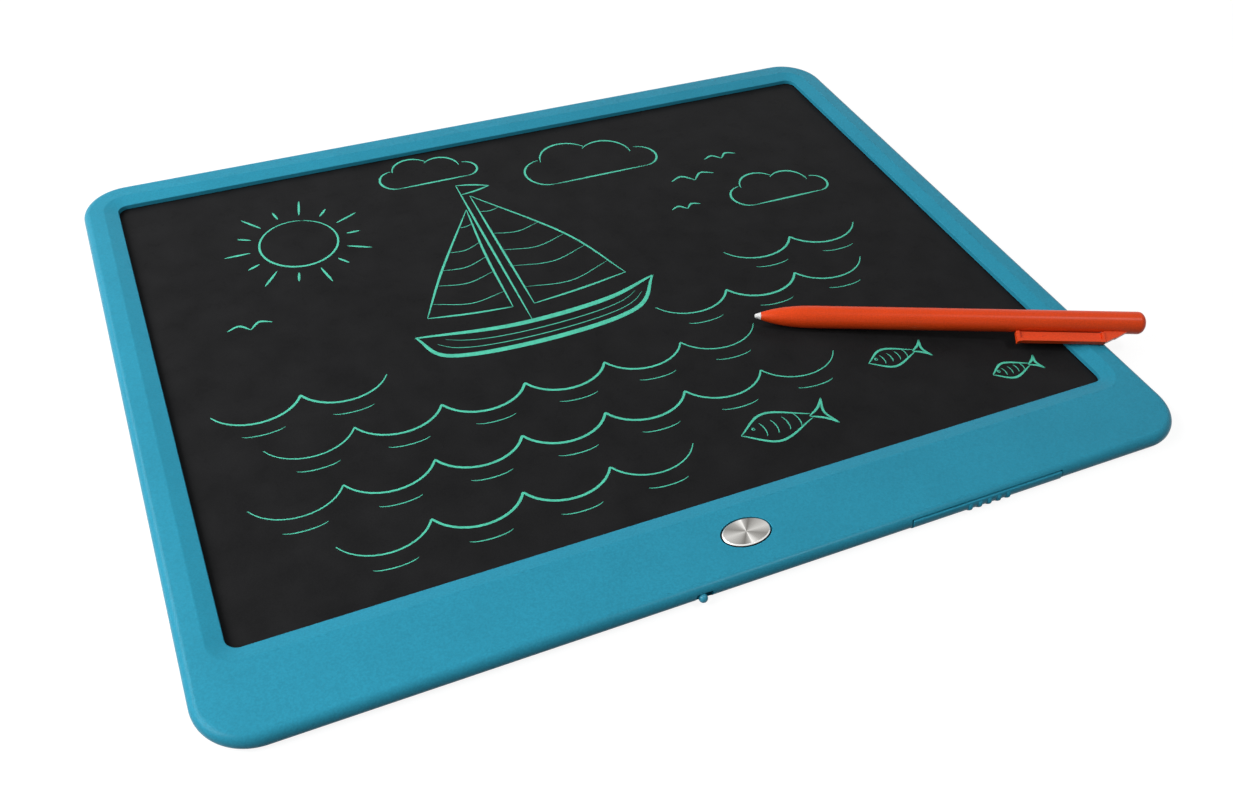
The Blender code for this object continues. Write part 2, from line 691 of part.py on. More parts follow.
def make_cell(surface):
    """Coin cell: the wide can below, the narrower cap above."""
    step = CELL_BOTTOM + CELL_HEIGHT - CELL_STEP
    profile = [
        (CELL_RADIUS - CELL_EDGE, CELL_BOTTOM),
        (CELL_RADIUS, CELL_BOTTOM + CELL_EDGE),
        (CELL_RADIUS, step - CELL_EDGE),
        (CELL_RADIUS - CELL_EDGE, step),
        (CELL_CAN_RADIUS, step),
        (CELL_CAN_RADIUS, CELL_BOTTOM + CELL_HEIGHT),
    ]
    return ring_solid("coin_cell", turned(profile, (DOOR_X, CELL_Y), CELL_SIDES), surface)


def contact_tab_x():
    """Where both contacts' solder tabs start, left of the cell."""
    return DOOR_X - CELL_RADIUS - CONTACT_TAB


def make_contacts(surface):
    """Sprung contact over the cell, and the bent contact that meets its rim."""
    bottom = CONTACT_TOP - CONTACT_THICKNESS
    half = CONTACT_WIDTH / 2
    arm_y = CELL_Y + MINUS_OFFSET
    arm_end = DOOR_X + CONTACT_WIDTH
    finger_y = CELL_Y - CONTACT_PAD_REACH
    outline = [
        (contact_tab_x(), arm_y - half),
        (arm_end - CONTACT_WIDTH, arm_y - half),
        (arm_end - CONTACT_WIDTH, finger_y),
        (arm_end, finger_y),
        (arm_end, arm_y + half),
        (contact_tab_x(), arm_y + half),
    ]
    ring_solid("contact_minus", standing(outline, bottom, CONTACT_TOP), surface)

    rim = DOOR_X - CELL_RADIUS - GAP
    foot = CELL_BOTTOM + CELL_STEP
    section = [
        (contact_tab_x(), CONTACT_TOP),
        (contact_tab_x(), bottom),
        (rim - CONTACT_THICKNESS, bottom),
        (rim - CONTACT_THICKNESS, foot),
        (rim, foot),
        (rim, CONTACT_TOP),
    ]
    plus_y = CELL_Y - PLUS_OFFSET + half
    ring_solid("contact_plus", inward(section, plus_y - half, plus_y + half), surface)


def make_lead(name, start, end, sway, surface):
    """A battery lead that stays inside the housing, on one smooth curve from tab to board."""
    curve = bpy.data.curves.new(name, "CURVE")
    curve.dimensions = "3D"
    spline = curve.splines.new("POLY")
    spline.points.add(LEAD_STEPS)
    for step in range(LEAD_STEPS + 1):
        along = step / LEAD_STEPS
        ease = along * along * (3 - 2 * along)
        x = start[0] + (end[0] - start[0]) * along
        y = start[1] + (end[1] - start[1]) * ease + sway * math.sin(math.pi * along) ** 2
        z = start[2] + (end[2] - start[2]) * ease
        spline.points[step].co = (x, y, z, 1)
    curve.bevel_depth = LEAD_RADIUS
    curve.bevel_resolution = 2
    curve.use_fill_caps = True
    curve.materials.append(surface)
    made = bpy.data.objects.new(name, curve)
    bpy.context.scene.collection.objects.link(made)
    return made


def make_leads(red, black):
    """Both battery leads, from under the contacts' tabs to the right end of the board."""
    start_x = contact_tab_x() + CONTACT_TAB / 2
    start_z = CONTACT_TOP - CONTACT_THICKNESS - LAYER_GAP - LEAD_RADIUS
    end_x = BOARD_RIGHT - LEAD_LANDING_INSET
    end_y = (BOARD_FRONT_Y + BOARD_BACK_Y) / 2
    end_z = BOARD_TOP + GAP + LEAD_RADIUS
    plus_y = CELL_Y - PLUS_OFFSET + CONTACT_WIDTH / 2
    minus_y = CELL_Y + MINUS_OFFSET
    half = LEAD_SPACING / 2
    make_lead("lead_red", (start_x, plus_y, start_z), (end_x, end_y - half, end_z), -LEAD_SWAY, red)
    make_lead("lead_black", (start_x, minus_y, start_z), (end_x, end_y + half, end_z), LEAD_SWAY, black)


def make_tail(surface):
    """Flexible tail that steps down from the film's edge to the circuit board."""
    film_edge = RIB_FRONT_Y + RIB_WALL
    film_middle = FILM_TOP - FILM_THICKNESS / 2
    landing = MOUNTED + TAIL_THICKNESS
    step_down = film_middle - landing
    path = [
        (film_edge, film_middle),
        (film_edge - RIB_WALL, film_middle),
        (BOARD_BACK_Y - step_down, landing),
        (BOARD_BACK_Y - step_down - TAIL_LAP, landing),
    ]
    underside = [(y, z - TAIL_THICKNESS) for y, z in reversed(path)]
    half = TAIL_WIDTH / 2
    return ring_solid("film_tail", sideways(path + underside, TAIL_X - half, TAIL_X + half), surface)


def screw_rings(place, tip):
    """Rings of a screw that enters from below, head down."""
    head_top = SCREW_SINK + SCREW_HEAD_HEIGHT
    profile = [
        (SCREW_HEAD_RADIUS, SCREW_SINK),
        (SCREW_HEAD_RADIUS, head_top),
        (SCREW_SHANK_RADIUS, head_top),
        (SCREW_SHANK_RADIUS, tip),
    ]
    return turned(profile, place, SCREW_SIDES)


def recess_rings(place):
    """Rings of the cross in a screw's head, as one solid with twelve corners."""
    arm = SCREW_RECESS_LENGTH / 2
    half = SCREW_RECESS_WIDTH / 2
    quarter = [(half, arm), (half, half), (arm, half)]
    outline = []
    for turn in range(4):
        angle = -math.pi / 2 * turn
        for x, y in quarter:
            across = x * math.cos(angle) - y * math.sin(angle)
            along = x * math.sin(angle) + y * math.cos(angle)
            outline.append((place[0] + across, place[1] + along))
    return standing(outline, SCREW_SINK - OVERRUN, SCREW_SINK + SCREW_RECESS_DEPTH)


def make_screw(name, place, tip, surface):
    """A cross-head screw, with its origin on its own axis."""
    screw = ring_solid(name, screw_rings(place, tip), surface)
    combine(screw, joined_solids(name + "_cross", [recess_rings(place)]), "DIFFERENCE")
    set_origin(screw, (*place, SCREW_SINK))
    return screw


def door_section():
    """Outline of the door in Y and Z: flat under the cell, round at its hinge, up over the front edge."""
    front = -HALF_DEPTH
    proud = DOOR_PROUD
    pivot_y = DOOR_PIVOT.y
    half = FLOOR / 2
    outline = [(front + inset - proud, height) for inset, height in bottom_edge()]
    outline[0] = (front + BOTTOM_ROUND_REACH, 0)
    outline += [(front + inset - proud, height) for inset, height in top_edge(DOOR_TOP)]
    outline.append((front + DOOR_SKIRT, DOOR_TOP))
    outline.append((front + DOOR_SKIRT, SEAM_HEIGHT))
    outline.append((front + DOOR_SKIRT + bottom_inset(FLOOR), FLOOR))
    turns = [math.pi / 2 - math.pi * step / DOME_STEPS for step in range(DOME_STEPS + 1)]
    outline += [(pivot_y + half * math.cos(t), half + half * math.sin(t)) for t in turns]
    return outline


def grip_section():
    """Outline of one grip rib in Y and Z, standing out of the door's front."""
    front = -HALF_DEPTH - DOOR_PROUD
    rib_top = DOOR_TOP - GRIP_BELOW_DOOR_TOP
    foot = GRIP_ROOT_HEIGHT
    return [
        (front + DOOR_SKIRT / 2, rib_top),
        (front - GRIP_PROUD, rib_top - GRIP_PROUD),
        (front - GRIP_PROUD, foot + GRIP_PROUD),
        (front + bottom_inset(foot) + DOOR_SKIRT / 2, foot),
    ]


def make_battery_door(surface):
    """Battery door: plate and skirt in one, grip ribs, two hooks at its back edge and a screw boss."""
    half = DOOR_WIDTH / 2
    door = ring_solid("battery_door", sideways(door_section(), DOOR_X - half, DOOR_X + half), surface)

    place = door_screw_place()
    head_hole = SCREW_HEAD_RADIUS + GAP
    hook_end = RIB_FRONT_Y - GAP
    hook_front = DOOR_PIVOT.y - HOOK_WIDTH / 2
    hook_low = FLOOR + GAP
    boss = circle_outline(place, head_hole + BOSS_WALL, SCREW_SIDES)
    additions = [standing(boss, FLOOR - ROOT, FLOOR + DOOR_BOSS_HEIGHT)]
    hook_outline = [
        (hook_front, FLOOR - ROOT),
        (DOOR_PIVOT.y, FLOOR - ROOT),
        (DOOR_PIVOT.y, hook_low),
        (hook_end, hook_low),
        (hook_end, hook_low + HOOK_THICKNESS),
        (hook_front, hook_low + HOOK_THICKNESS),
    ]
    for sign in (-1, 1):
        middle = DOOR_X + sign * (half - HOOK_FROM_SIDE)
        additions.append(sideways(hook_outline, middle - HOOK_WIDTH / 2, middle + HOOK_WIDTH / 2))
    first = DOOR_X - GRIP_PITCH * (GRIP_COUNT - 1) / 2
    for index in range(GRIP_COUNT):
        middle = first + GRIP_PITCH * index
        additions.append(sideways(grip_section(), middle - GRIP_WIDTH / 2, middle + GRIP_WIDTH / 2))
    combine(door, joined_solids("door_additions", additions), "UNION")

    head_top = SCREW_SINK + SCREW_HEAD_HEIGHT + GAP
    shank_hole = SCREW_SHANK_RADIUS + GAP
    screw_way = [
        (head_hole, -OVERRUN),
        (head_hole, head_top),
        (shank_hole, head_top),
        (shank_hole, FLOOR + DOOR_BOSS_HEIGHT + OVERRUN),
    ]
    combine(door, joined_solids("door_cuts", [turned(screw_way, place, SCREW_SIDES)]), "DIFFERENCE")
    set_origin(door, DOOR_PIVOT)


def stylus_frame():
    """An empty at the stylus's tip, whose X axis is the stylus's axis and whose Z axis is its upper side."""
    heading = math.radians(STYLUS_HEADING)
    tip_x = WINDOW_WIDTH / 2 - STYLUS_TIP_FROM_RIGHT
    tip_y = WINDOW_Y - WINDOW_DEPTH / 2 + STYLUS_TIP_FROM_FRONT
    crease = (WINDOW_WIDTH / 2 + BAND_WIDTH - tip_x) / math.cos(heading)
    rise = THICKNESS - FILM_TOP
    tilt = math.atan2(rise, crease - NOSE_LENGTH)
    height_at_nose = FILM_TOP + GAP + STYLUS_RADIUS / math.cos(tilt)
    frame = bpy.data.objects.new("stylus_axis", None)
    bpy.context.scene.collection.objects.link(frame)
    frame.location = (tip_x, tip_y, height_at_nose - NOSE_LENGTH * math.tan(tilt))
    frame.rotation_euler = (0, -tilt, heading)
    return frame


def along_axis(profile, sides):
    """Rings of a solid turned about the X axis; the profile is distance along it and radius."""
    return [[(x, y, z) for y, z in circle_outline((0, 0), radius, sides)] for x, radius in profile]


def barrel_profile():
    """Distance and radius of the barrel: bullet nose, straight body, domed end."""
    nose_start = TIP_LENGTH
    nose = []
    for step in range(NOSE_STEPS + 1):
        along = step / NOSE_STEPS
        swell = 1 - (1 - along) ** NOSE_FULLNESS
        radius = TIP_BASE_RADIUS + (STYLUS_RADIUS - TIP_BASE_RADIUS) * swell
        nose.append((nose_start + (NOSE_LENGTH - nose_start) * along, radius))
    dome_start = STYLUS_LENGTH - DOME_LENGTH
    turns = [math.pi / 2 * step / DOME_STEPS for step in range(DOME_STEPS)]
    dome = [(dome_start + DOME_LENGTH * math.sin(t), STYLUS_RADIUS * math.cos(t)) for t in turns]
    return nose + dome


def clip_outline():
    """Outline of the clip along the barrel and out from its axis: a bar that ends in a stepped foot."""
    inner = STYLUS_RADIUS + CLIP_SLIT
    root = STYLUS_RADIUS - ROOT
    foot_end = STYLUS_LENGTH - CLIP_TO_BARREL_END
    bar_end = foot_end - CLIP_FOOT_LENGTH
    bar_start = bar_end - CLIP_LENGTH
    reach = CLIP_REACH - STYLUS_RADIUS
    step_x = bar_end + CLIP_FOOT_LENGTH * CLIP_FOOT_STEP_SHARE
    step_out = CLIP_REACH - reach * CLIP_FOOT_RISE_SHARE
    return [
        (bar_start, inner),
        (bar_end, inner),
        (bar_end, root),
        (foot_end, root),
        (foot_end, STYLUS_RADIUS),
        (step_x + CLIP_SLIT, step_out),
        (step_x, step_out),
        (bar_end, CLIP_REACH),
        (bar_start + CLIP_NIB_LENGTH, CLIP_REACH),
        (bar_start, CLIP_REACH + CLIP_NIB),
    ]


def make_stylus(barrel_surface, tip_surface):
    """Stylus rolled onto its clip: moulded barrel with the clip in one, and the tip pressed into it."""
    frame = stylus_frame()
    barrel = ring_solid("stylus_barrel", along_axis(barrel_profile(), BARREL_SIDES), barrel_surface)
    half_clip = CLIP_WIDTH / 2
    roll = math.asin(STYLUS_RADIUS / math.hypot(CLIP_REACH, half_clip)) - math.atan2(half_clip, CLIP_REACH)
    bar = [
        [(x, out, side) for x, out in clip_outline()]
        for side in (-half_clip, half_clip)
    ]
    clip = joined_solids("stylus_clip", [bar])
    clip.data.transform(Matrix.Rotation(roll - math.pi, 4, "X"))
    combine(barrel, clip, "UNION")
    bore = TIP_SPIGOT_RADIUS + GAP
    bore_profile = [(TIP_LENGTH - OVERRUN, bore), (TIP_LENGTH + TIP_SPIGOT_LENGTH + GAP, bore)]
    socket = joined_solids("stylus_socket", [along_axis(bore_profile, PIN_SIDES)])
    combine(barrel, socket, "DIFFERENCE")

    shoulder = TIP_LENGTH - LAYER_GAP
    tip_profile = [(0, TIP_END_RADIUS / 2), (TIP_END_RADIUS / 2, TIP_END_RADIUS)]
    tip_profile += [(shoulder, TIP_BASE_RADIUS), (shoulder, TIP_SPIGOT_RADIUS)]
    tip_profile.append((TIP_LENGTH + TIP_SPIGOT_LENGTH, TIP_SPIGOT_RADIUS))
    tip = ring_solid("stylus_tip", along_axis(tip_profile, PIN_SIDES), tip_surface)
    for piece in (barrel, tip, clip, socket):
        piece.parent = frame


def make_tablet():
    """All pieces of the tablet and its stylus."""
    teal = material("teal_plastic", (0.032, 0.292, 0.445), 0.45)
    film = material("writing_film", (0.018, 0.018, 0.019), 0.35)
    tape = material("black_tape", (0.01, 0.01, 0.01), 0.8)
    backing = material("backing_sheet", (0.05, 0.05, 0.055), 0.6)
    foam = material("foam_pad", (0.12, 0.12, 0.12), 0.95)
    board = material("board_green", (0.02, 0.12, 0.05), 0.5)
    package = material("package_black", (0.015, 0.015, 0.016), 0.5)
    ceramic = material("capacitor_tan", (0.45, 0.32, 0.18), 0.5)
    brushed = material("brushed_metal", (0.62, 0.6, 0.57), 0.3, 1.0)
    plated = material("plated_metal", (0.66, 0.65, 0.62), 0.35, 1.0)
    dark = material("dark_plastic", (0.03, 0.03, 0.032), 0.55)
    flex = material("amber_film", (0.5, 0.24, 0.04), 0.4)
    red = material("red_sheath", (0.5, 0.02, 0.02), 0.5)
    black = material("black_sheath", (0.015, 0.015, 0.015), 0.5)
    orange = material("orange_plastic", (0.671, 0.065, 0.017), 0.4)
    white = material("white_tip", (0.8, 0.8, 0.78), 0.5)

    make_front_bezel(teal)
    make_back_cover(teal)
    make_sheet("lcd_film", FILM_LAP, FILM_TOP - FILM_THICKNESS, FILM_TOP, film)
    make_tape(tape)
    make_sheet("backing_board", FILM_LAP, BACKING_TOP - BACKING_THICKNESS, BACKING_TOP, backing)
    make_sheet("foam_pad", FILM_LAP, PAD_BOTTOM, PAD_TOP, foam)

    make_board(board)
    chip_y = BOARD_BACK_Y - CHIP_FROM_BACK
    make_component("driver_chip", CHIP_X, chip_y, (CHIP_SIZE, CHIP_SIZE), CHIP_HEIGHT, package)
    capacitor_size = (CAPACITOR_LENGTH, CAPACITOR_WIDTH)
    capacitor_y = BOARD_FRONT_Y + CAPACITOR_FROM_FRONT
    for index in range(CAPACITOR_COUNT):
        x = CAPACITOR_X + CAPACITOR_PITCH * index
        name = "capacitor_" + str(index + 1)
        make_component(name, x, capacitor_y, capacitor_size, CAPACITOR_HEIGHT, ceramic)
    plunger_top = make_button(brushed, dark)
    make_tact_switch(plunger_top, plated, dark)
    make_lock(teal, plated)

    make_cell(plated)
    make_contacts(plated)
    make_leads(red, black)
    make_tail(flex)
    make_battery_door(teal)
    make_screw("door_screw", door_screw_place(), CEILING - SCREW_TIP_MARGIN - BOSS_WALL, plated)
    for index, place in enumerate(screw_places()):
        make_screw("housing_screw_" + str(index + 1), place, CEILING - SCREW_TIP_MARGIN, plated)
    make_stylus(orange, white)


for item in list(bpy.data.objects):
    bpy.data.objects.remove(item, do_unlink=True)
make_tablet()
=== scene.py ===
"""Looks of the drawing tablet: fine versions of the pieces that show, materials, studio and camera.

The frame is the part's own. The origin is the centre of the flat back face, +X is the tablet's width,
+Y points to its back edge, +Z points out of the writing film. Lengths are in metres.
"""

import json
from math import asin, atan2, cos, degrees, hypot, pi, radians, sin, sqrt, tan

import bmesh
import bpy
from mathutils import Euler, Matrix, Vector


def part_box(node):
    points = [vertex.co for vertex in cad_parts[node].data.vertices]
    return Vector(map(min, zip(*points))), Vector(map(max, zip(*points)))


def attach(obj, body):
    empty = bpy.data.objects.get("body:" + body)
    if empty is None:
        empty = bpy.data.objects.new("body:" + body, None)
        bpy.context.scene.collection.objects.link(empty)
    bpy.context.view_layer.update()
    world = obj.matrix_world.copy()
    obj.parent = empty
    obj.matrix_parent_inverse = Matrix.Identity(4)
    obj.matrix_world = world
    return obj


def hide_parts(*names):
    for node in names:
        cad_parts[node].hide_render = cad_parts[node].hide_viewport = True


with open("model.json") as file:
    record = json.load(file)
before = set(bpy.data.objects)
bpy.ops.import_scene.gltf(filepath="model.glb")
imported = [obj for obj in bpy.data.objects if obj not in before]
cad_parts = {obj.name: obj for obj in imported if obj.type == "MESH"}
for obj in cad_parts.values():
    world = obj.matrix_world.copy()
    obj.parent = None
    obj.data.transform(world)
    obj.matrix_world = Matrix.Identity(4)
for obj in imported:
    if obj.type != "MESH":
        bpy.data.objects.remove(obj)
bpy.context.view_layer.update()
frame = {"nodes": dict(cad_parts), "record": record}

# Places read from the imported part
HALF_WIDTH, HALF_DEPTH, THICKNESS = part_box("front_bezel")[1]
FILM_LOW, FILM_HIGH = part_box("lcd_film")
CAP_LOW, CAP_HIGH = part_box("button_cap")
CELL_LOW, CELL_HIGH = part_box("coin_cell")
LOCK_LOW, LOCK_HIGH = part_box("lock_slider")
DOOR_LOW, DOOR_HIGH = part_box("battery_door")
BOARD_LOW, BOARD_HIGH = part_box("circuit_board")
TAIL_LOW, TAIL_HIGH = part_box("film_tail")
SCREWS = sorted(name for name in frame["nodes"] if name.startswith("housing_screw"))
FILM_TOP = FILM_HIGH.z

# Window, borders and shells
FILM_LAP = 0.003
WINDOW_CORNER = 0.004
OUTER_CORNER = 0.0175
BAND_WIDTH = 0.0052
BAND_DROP = 0.0013
LIP_HEIGHT = 0.0017
LIP_ROUND = 0.00025
CREASE_ROUND = 0.003
TOP_WALL = 0.0015
FLOOR = 0.0012
SIDE_WALL = 0.0012
TONGUE_WALL = 0.0008
TONGUE_DROP = 0.0009
RIB_WALL = 0.0015
TOP_ROUND = 0.0028
SEAM_HEIGHT = 0.0032
BOTTOM_ROUND = 0.0045
GAP = 0.0003
SEAM_GAP = 0.0001
OVERRUN = 0.002
ROOT = 0.0003
EDGE_BREAK = 0.00012
CEILING = THICKNESS - TOP_WALL
LIP_TOP = THICKNESS - BAND_DROP
LIP_UNDERSIDE = LIP_TOP - LIP_HEIGHT
BEZEL_FOOT = SEAM_HEIGHT + SEAM_GAP
TONGUE_FOOT = BEZEL_FOOT - TONGUE_DROP
TONGUE_INSET = SIDE_WALL + GAP
INNER_INSET = TONGUE_INSET + TONGUE_WALL
WALL_BACK = -HALF_DEPTH + INNER_INSET + GAP
POCKET_OFFSET = FILM_LAP + GAP
RIB_OFFSET = POCKET_OFFSET + RIB_WALL
RIB_FRONT = FILM_LOW.y + FILM_LAP - RIB_OFFSET

# Screws and what they pass through
SHANK_HOLE = 0.0011
POST_WALL = 0.0012
BOSS_WALL = 0.0006
SCREW_WEB = 0.0008
HEAD_HEIGHT = 0.0008
SCREW_SHANK = 0.0008
HEAD_EDGE = 0.00025
CROSS_REACH = 0.0011
CROSS_HALF = 0.00027
CROSS_DEPTH = 0.0005
CROSS_FLOOR_SHARE = 0.45

# Button and the metal cap on it
BUTTON_RING_GAP = 0.0005
HOLE_ROUND = 0.00012
CAP_BEVEL = 0.00035
CAP_EDGE_ROUND = 0.00006
CAP_DISH = 0.00006
CAP_RIM_SHARE = 0.25

# Cell nest and its ends in degrees, board pins, battery opening
NEST_WALL = 0.001
NEST_DROP = 0.0028
NEST_FROM = -142.0
NEST_TO = 126.0
CELL_ROOM = (CELL_HIGH.x - CELL_LOW.x) / 2 + GAP
PIN_RADIUS = 0.0007
PIN_INSET = 0.0035
PIN_RISE = 0.0015
DOOR_EDGE_GAP = 0.00045
DOOR_BACK_MARGIN = 0.0004
CURB_HEIGHT = 0.0008
CURB_WALL = 0.001

# Battery door
DOOR_BELOW_TOP = 0.0014
DOOR_PROUD = 0.0003
DOOR_SKIRT = 0.0012
DOOR_BOSS = 0.001
HOOK_WIDTH = 0.006
HOOK_FROM_SIDE = 0.011
HOOK_THICKNESS = 0.0007
GRIP_COUNT = 5
GRIP_PITCH = 0.0037
GRIP_WIDTH = 0.0015
GRIP_PROUD = 0.0007
GRIP_BELOW_TOP = 0.0004
GRIP_FOOT = 0.0012
GRIP_FULLNESS = 0.6
GRIP_END_SHARE = 0.02
DOOR_TOP = THICKNESS - DOOR_BELOW_TOP
DOOR_X = (DOOR_LOW.x + DOOR_HIGH.x) / 2
DOOR_HALF = (DOOR_HIGH.x - DOOR_LOW.x) / 2
HINGE_Y = RIB_FRONT - DOOR_BACK_MARGIN - GAP - FLOOR

# Lock slider
LOCK_SLOT_X = -0.0213
LOCK_SLOT_WIDTH = 0.0056
LOCK_SLOT_HEIGHT = 0.0032
LOCK_HEIGHT = 0.0028
LOCK_TRAVEL = 0.0015
LOCK_PIN = 0.00142
LOCK_BALL_OUT = 0.00024
LOCK_PLATE = 0.0008
LOCK_LUG_WIDTH = 0.0012
LOCK_LUG_RISE = 0.0006
LOCK_LUG_THICKNESS = 0.0007

# Stylus
STYLUS_LENGTH = 0.143
STYLUS_RADIUS = 0.00415
STYLUS_TIP_FROM_RIGHT = 0.1018
STYLUS_TIP_FROM_FRONT = 0.074
STYLUS_HEADING = -24.85
NOSE_LENGTH = 0.024
NOSE_FULLNESS = 2.7
DOME_LENGTH = 0.0028
TIP_LENGTH = 0.0023
TIP_BASE = 0.0014
TIP_END = 0.0009
SPIGOT = 0.0009
SPIGOT_LENGTH = 0.004
TIP_SEAM = 0.0001
CLIP_LENGTH = 0.032
CLIP_FOOT = 0.0085
CLIP_FROM_END = 0.0074
CLIP_REACH = 0.0087
CLIP_SLIT = 0.00045
CLIP_WIDTH = 0.0022
CLIP_NIB = 0.0005
CLIP_NIB_LENGTH = 0.002
CLIP_STEP_SHARE = 0.45
CLIP_RISE_SHARE = 0.45
CLIP_EDGE_BREAK = 0.00045
CLIP_END_RIM = 0.0012
CLIP_LONG_RIM = 0.0011
CLIP_CROSS_RIB = 0.0009
CLIP_FACE_DEPTH = 0.00085
CLIP_WEB_DEPTH = 0.0004
CLIP_CORNER = 0.0012
CLIP_MARK = 0.0006
CLIP_MARK_RISE = 0.00012
CLIP_MARK_SHARE = 0.3
CLIP_ROOT = STYLUS_RADIUS - ROOT
CLIP_END = STYLUS_LENGTH - CLIP_FROM_END
BAR_END = CLIP_END - CLIP_FOOT
BAR_START = BAR_END - CLIP_LENGTH

# Drawing on the film: line widths, and places as shares of the window's width and depth
LINE_RISE = 0.00003
LINE_SINK = 0.00002
SHOULDER_SHARE = 0.6
LINE_END_SHARE = 0.25
LINE_FULLNESS = 0.7
BOLD_LINE = 0.0013
MAIN_LINE = 0.00055
FINE_LINE = 0.00024
SUN_PLACE = (0.2, 0.8)
SUN_RADIUS = 0.015
SUN_LINE = (70, 436)
SUN_RAYS = 14
SUN_RAY_START = 1.25
SUN_RAY_ENDS = (1.6, 1.9)
BOAT_PLACE = (0.43, 0.42)
BOAT_LENGTH = 0.09
SAIL_FOLDS = 6
SAIL_SAG_SHARE = 1 / 8
PLANK_SHARES = (0.3, 0.6)
SAILS = (
    ((0.02, 0.21), (0.02, 0.6), (0.02, 1.04), (0.32, 0.62), (0.46, 0.27)),
    ((-0.07, 0.22), (-0.06, 0.58), (-0.03, 0.94), (-0.27, 0.55), (-0.42, 0.27)),
)
CLOUDS = ((0.62, 0.86, 0.04), (0.4, 0.93, 0.028), (0.84, 0.66, 0.03))
CLOUD_FOOT = ((-0.5, -0.24), (0.55, -0.24))
CLOUD_BULGES = (
    (-0.5, 0, 0.24, 95, 270),
    (-0.2, 0.17, 0.3, 30, 175),
    (0.22, 0.1, 0.28, -5, 135),
    (0.55, -0.05, 0.19, -90, 85),
)
BIRDS = ((0.74, 0.74, 0.01), (0.8, 0.79, 0.0075), (0.7, 0.66, 0.0065), (0.11, 0.6, 0.008))
WAVE_ROWS = (
    (0.04, 0.405, 2),
    (0.082, 0.31, 6),
    (0.05, 0.205, 7),
    (0.12, 0.1, 4),
    (0.57, 0.405, 3),
    (0.7, 0.5, 2),
)
WAVE_PITCH = 0.03
WAVE_HEIGHT = 0.008
WAVE_CURL_SHARE = 0.85
FISH = ((0.62, 0.105, 0.034), (0.8, 0.175, 0.024), (0.92, 0.08, 0.02))
FISH_SCALES = 4

# Smoothness of round shapes, and angles in degrees from which edges are broken or stay sharp
CORNER_STEPS = 24
EDGE_STEPS = 12
ROUND_STEPS = 5
CIRCLE_SIDES = 96
POST_SIDES = 32
DOME_STEPS = 12
LINE_STEPS = 10
BREAK_STEPS = 3
SHARP_EDGE = 50
CLIP_SHARP_EDGE = 40
SHARP_ANGLE = 38
LARGE_FACE_WEIGHT = 95

# Camera of the photograph
CAMERA_PLACE = (-0.143944, -0.318732, 0.289521)
CAMERA_TURN = (46.28615, -2.45845, -23.69746)
CAMERA_LENS = 35.347
CAMERA_SENSOR = 36.0
CAMERA_NEAREST = 0.01

# Studio: lamps by name, each with its place, its width and its power in watts
SKY_LIGHT = 0.13
FLOOR_SIZE = 5.0
FLOOR_SHADE = 0.18
FLOOR_GLOW = 0.9
FLOOR_GLOW_NEAR = 0.7
FLOOR_GLOW_FAR = 1.8
LAMPS = {
    "key": ((-0.65, 0.65, 0.77), 0.58, 5.8),
    "side": ((-0.68, -0.04, 0.5), 0.5, 5.4),
    "front": ((0.45, -0.4, 1.0), 0.2, 2.8),
    "under": ((-0.3, -0.45, -0.8), 0.6, 9.0),
}

# Colours, as red, green and blue shares of light
TEAL = (0.03, 0.314, 0.462)
ORANGE = (0.85, 0.07, 0.01)
FILM_BLACK = (0.015, 0.015, 0.0156)
LINE_GREEN = (0.105, 0.69, 0.48)
WHITE_TIP = (0.88, 0.88, 0.87)
SPUN_METAL = (0.22, 0.21, 0.195)
# Painted highlight colour of the cap's fan of reflections
PAINTED_FAN_HIGHLIGHT = (0.98, 0.965, 0.93)
POLISHED_METAL = (0.82, 0.81, 0.79)
# Painted shade for the cap's upright side in the button's gap
SHADED_METAL = (0.03, 0.045, 0.06)
PLATED_METAL = (0.66, 0.65, 0.62)
DARK_PLASTIC = (0.02, 0.02, 0.022)

# Painted fan of reflections on the metal cap: angle in degrees and share of the painted highlight colour
CAP_FAN = (
    (0, 0.55), (35, 0.25), (55, 0.0), (78, 0.35), (86, 1.0),
    (96, 0.75), (120, 0.3), (152, 0.1), (180, 0.55),
)

# Grain of the materials: noise lies between the first two shares; patches are multiples of the grain
NOISE_LEAST = 0.3
NOISE_MOST = 0.7
PIGMENT_CLOUDS = 60
PIGMENT_SPECKS = 2
HANDLING_MARKS = 25
MOULD_WAVES = 80
MOULD_WAVE_DEPTH = 4
METAL_LINE = 0.00012
CAP_STRETCH = 0.7
BEVEL_SLOPES = (0.9, 0.98)
# Slopes over which the cap's side gets painted shade
SIDE_SLOPES = (0.15, 0.55)
FILM_MOTTLE = 1.3
TRACKS_PER_METRE = 420.0
TRACK_WIDTH_SHARE = 0.03


def adjust(item, **settings):
    """Gives an item its settings."""
    for name, value in settings.items():
        setattr(item, name, value)
    return item


def put_in_scene(name, data, **settings):
    """A new object of the scene, with its settings."""
    made = adjust(bpy.data.objects.new(name, data), **settings)
    bpy.context.scene.collection.objects.link(made)
    return made


def dress(made, surface):
    """Gives an object one material."""
    made.data.materials.clear()
    made.data.materials.append(surface)


def feed(tree, entry, source):
    """Lets an input follow a socket or hold a value."""
    if isinstance(source, bpy.types.NodeSocket):
        tree.links.new(source, entry)
    else:
        entry.default_value = source


def add_node(tree, kind, inputs, **settings):
    """A new shader node with its settings and its inputs, by their names or numbers."""
    node = adjust(tree.nodes.new("ShaderNode" + kind), **settings)
    for name, source in inputs.items():
        feed(tree, node.inputs[name], source)
    return node


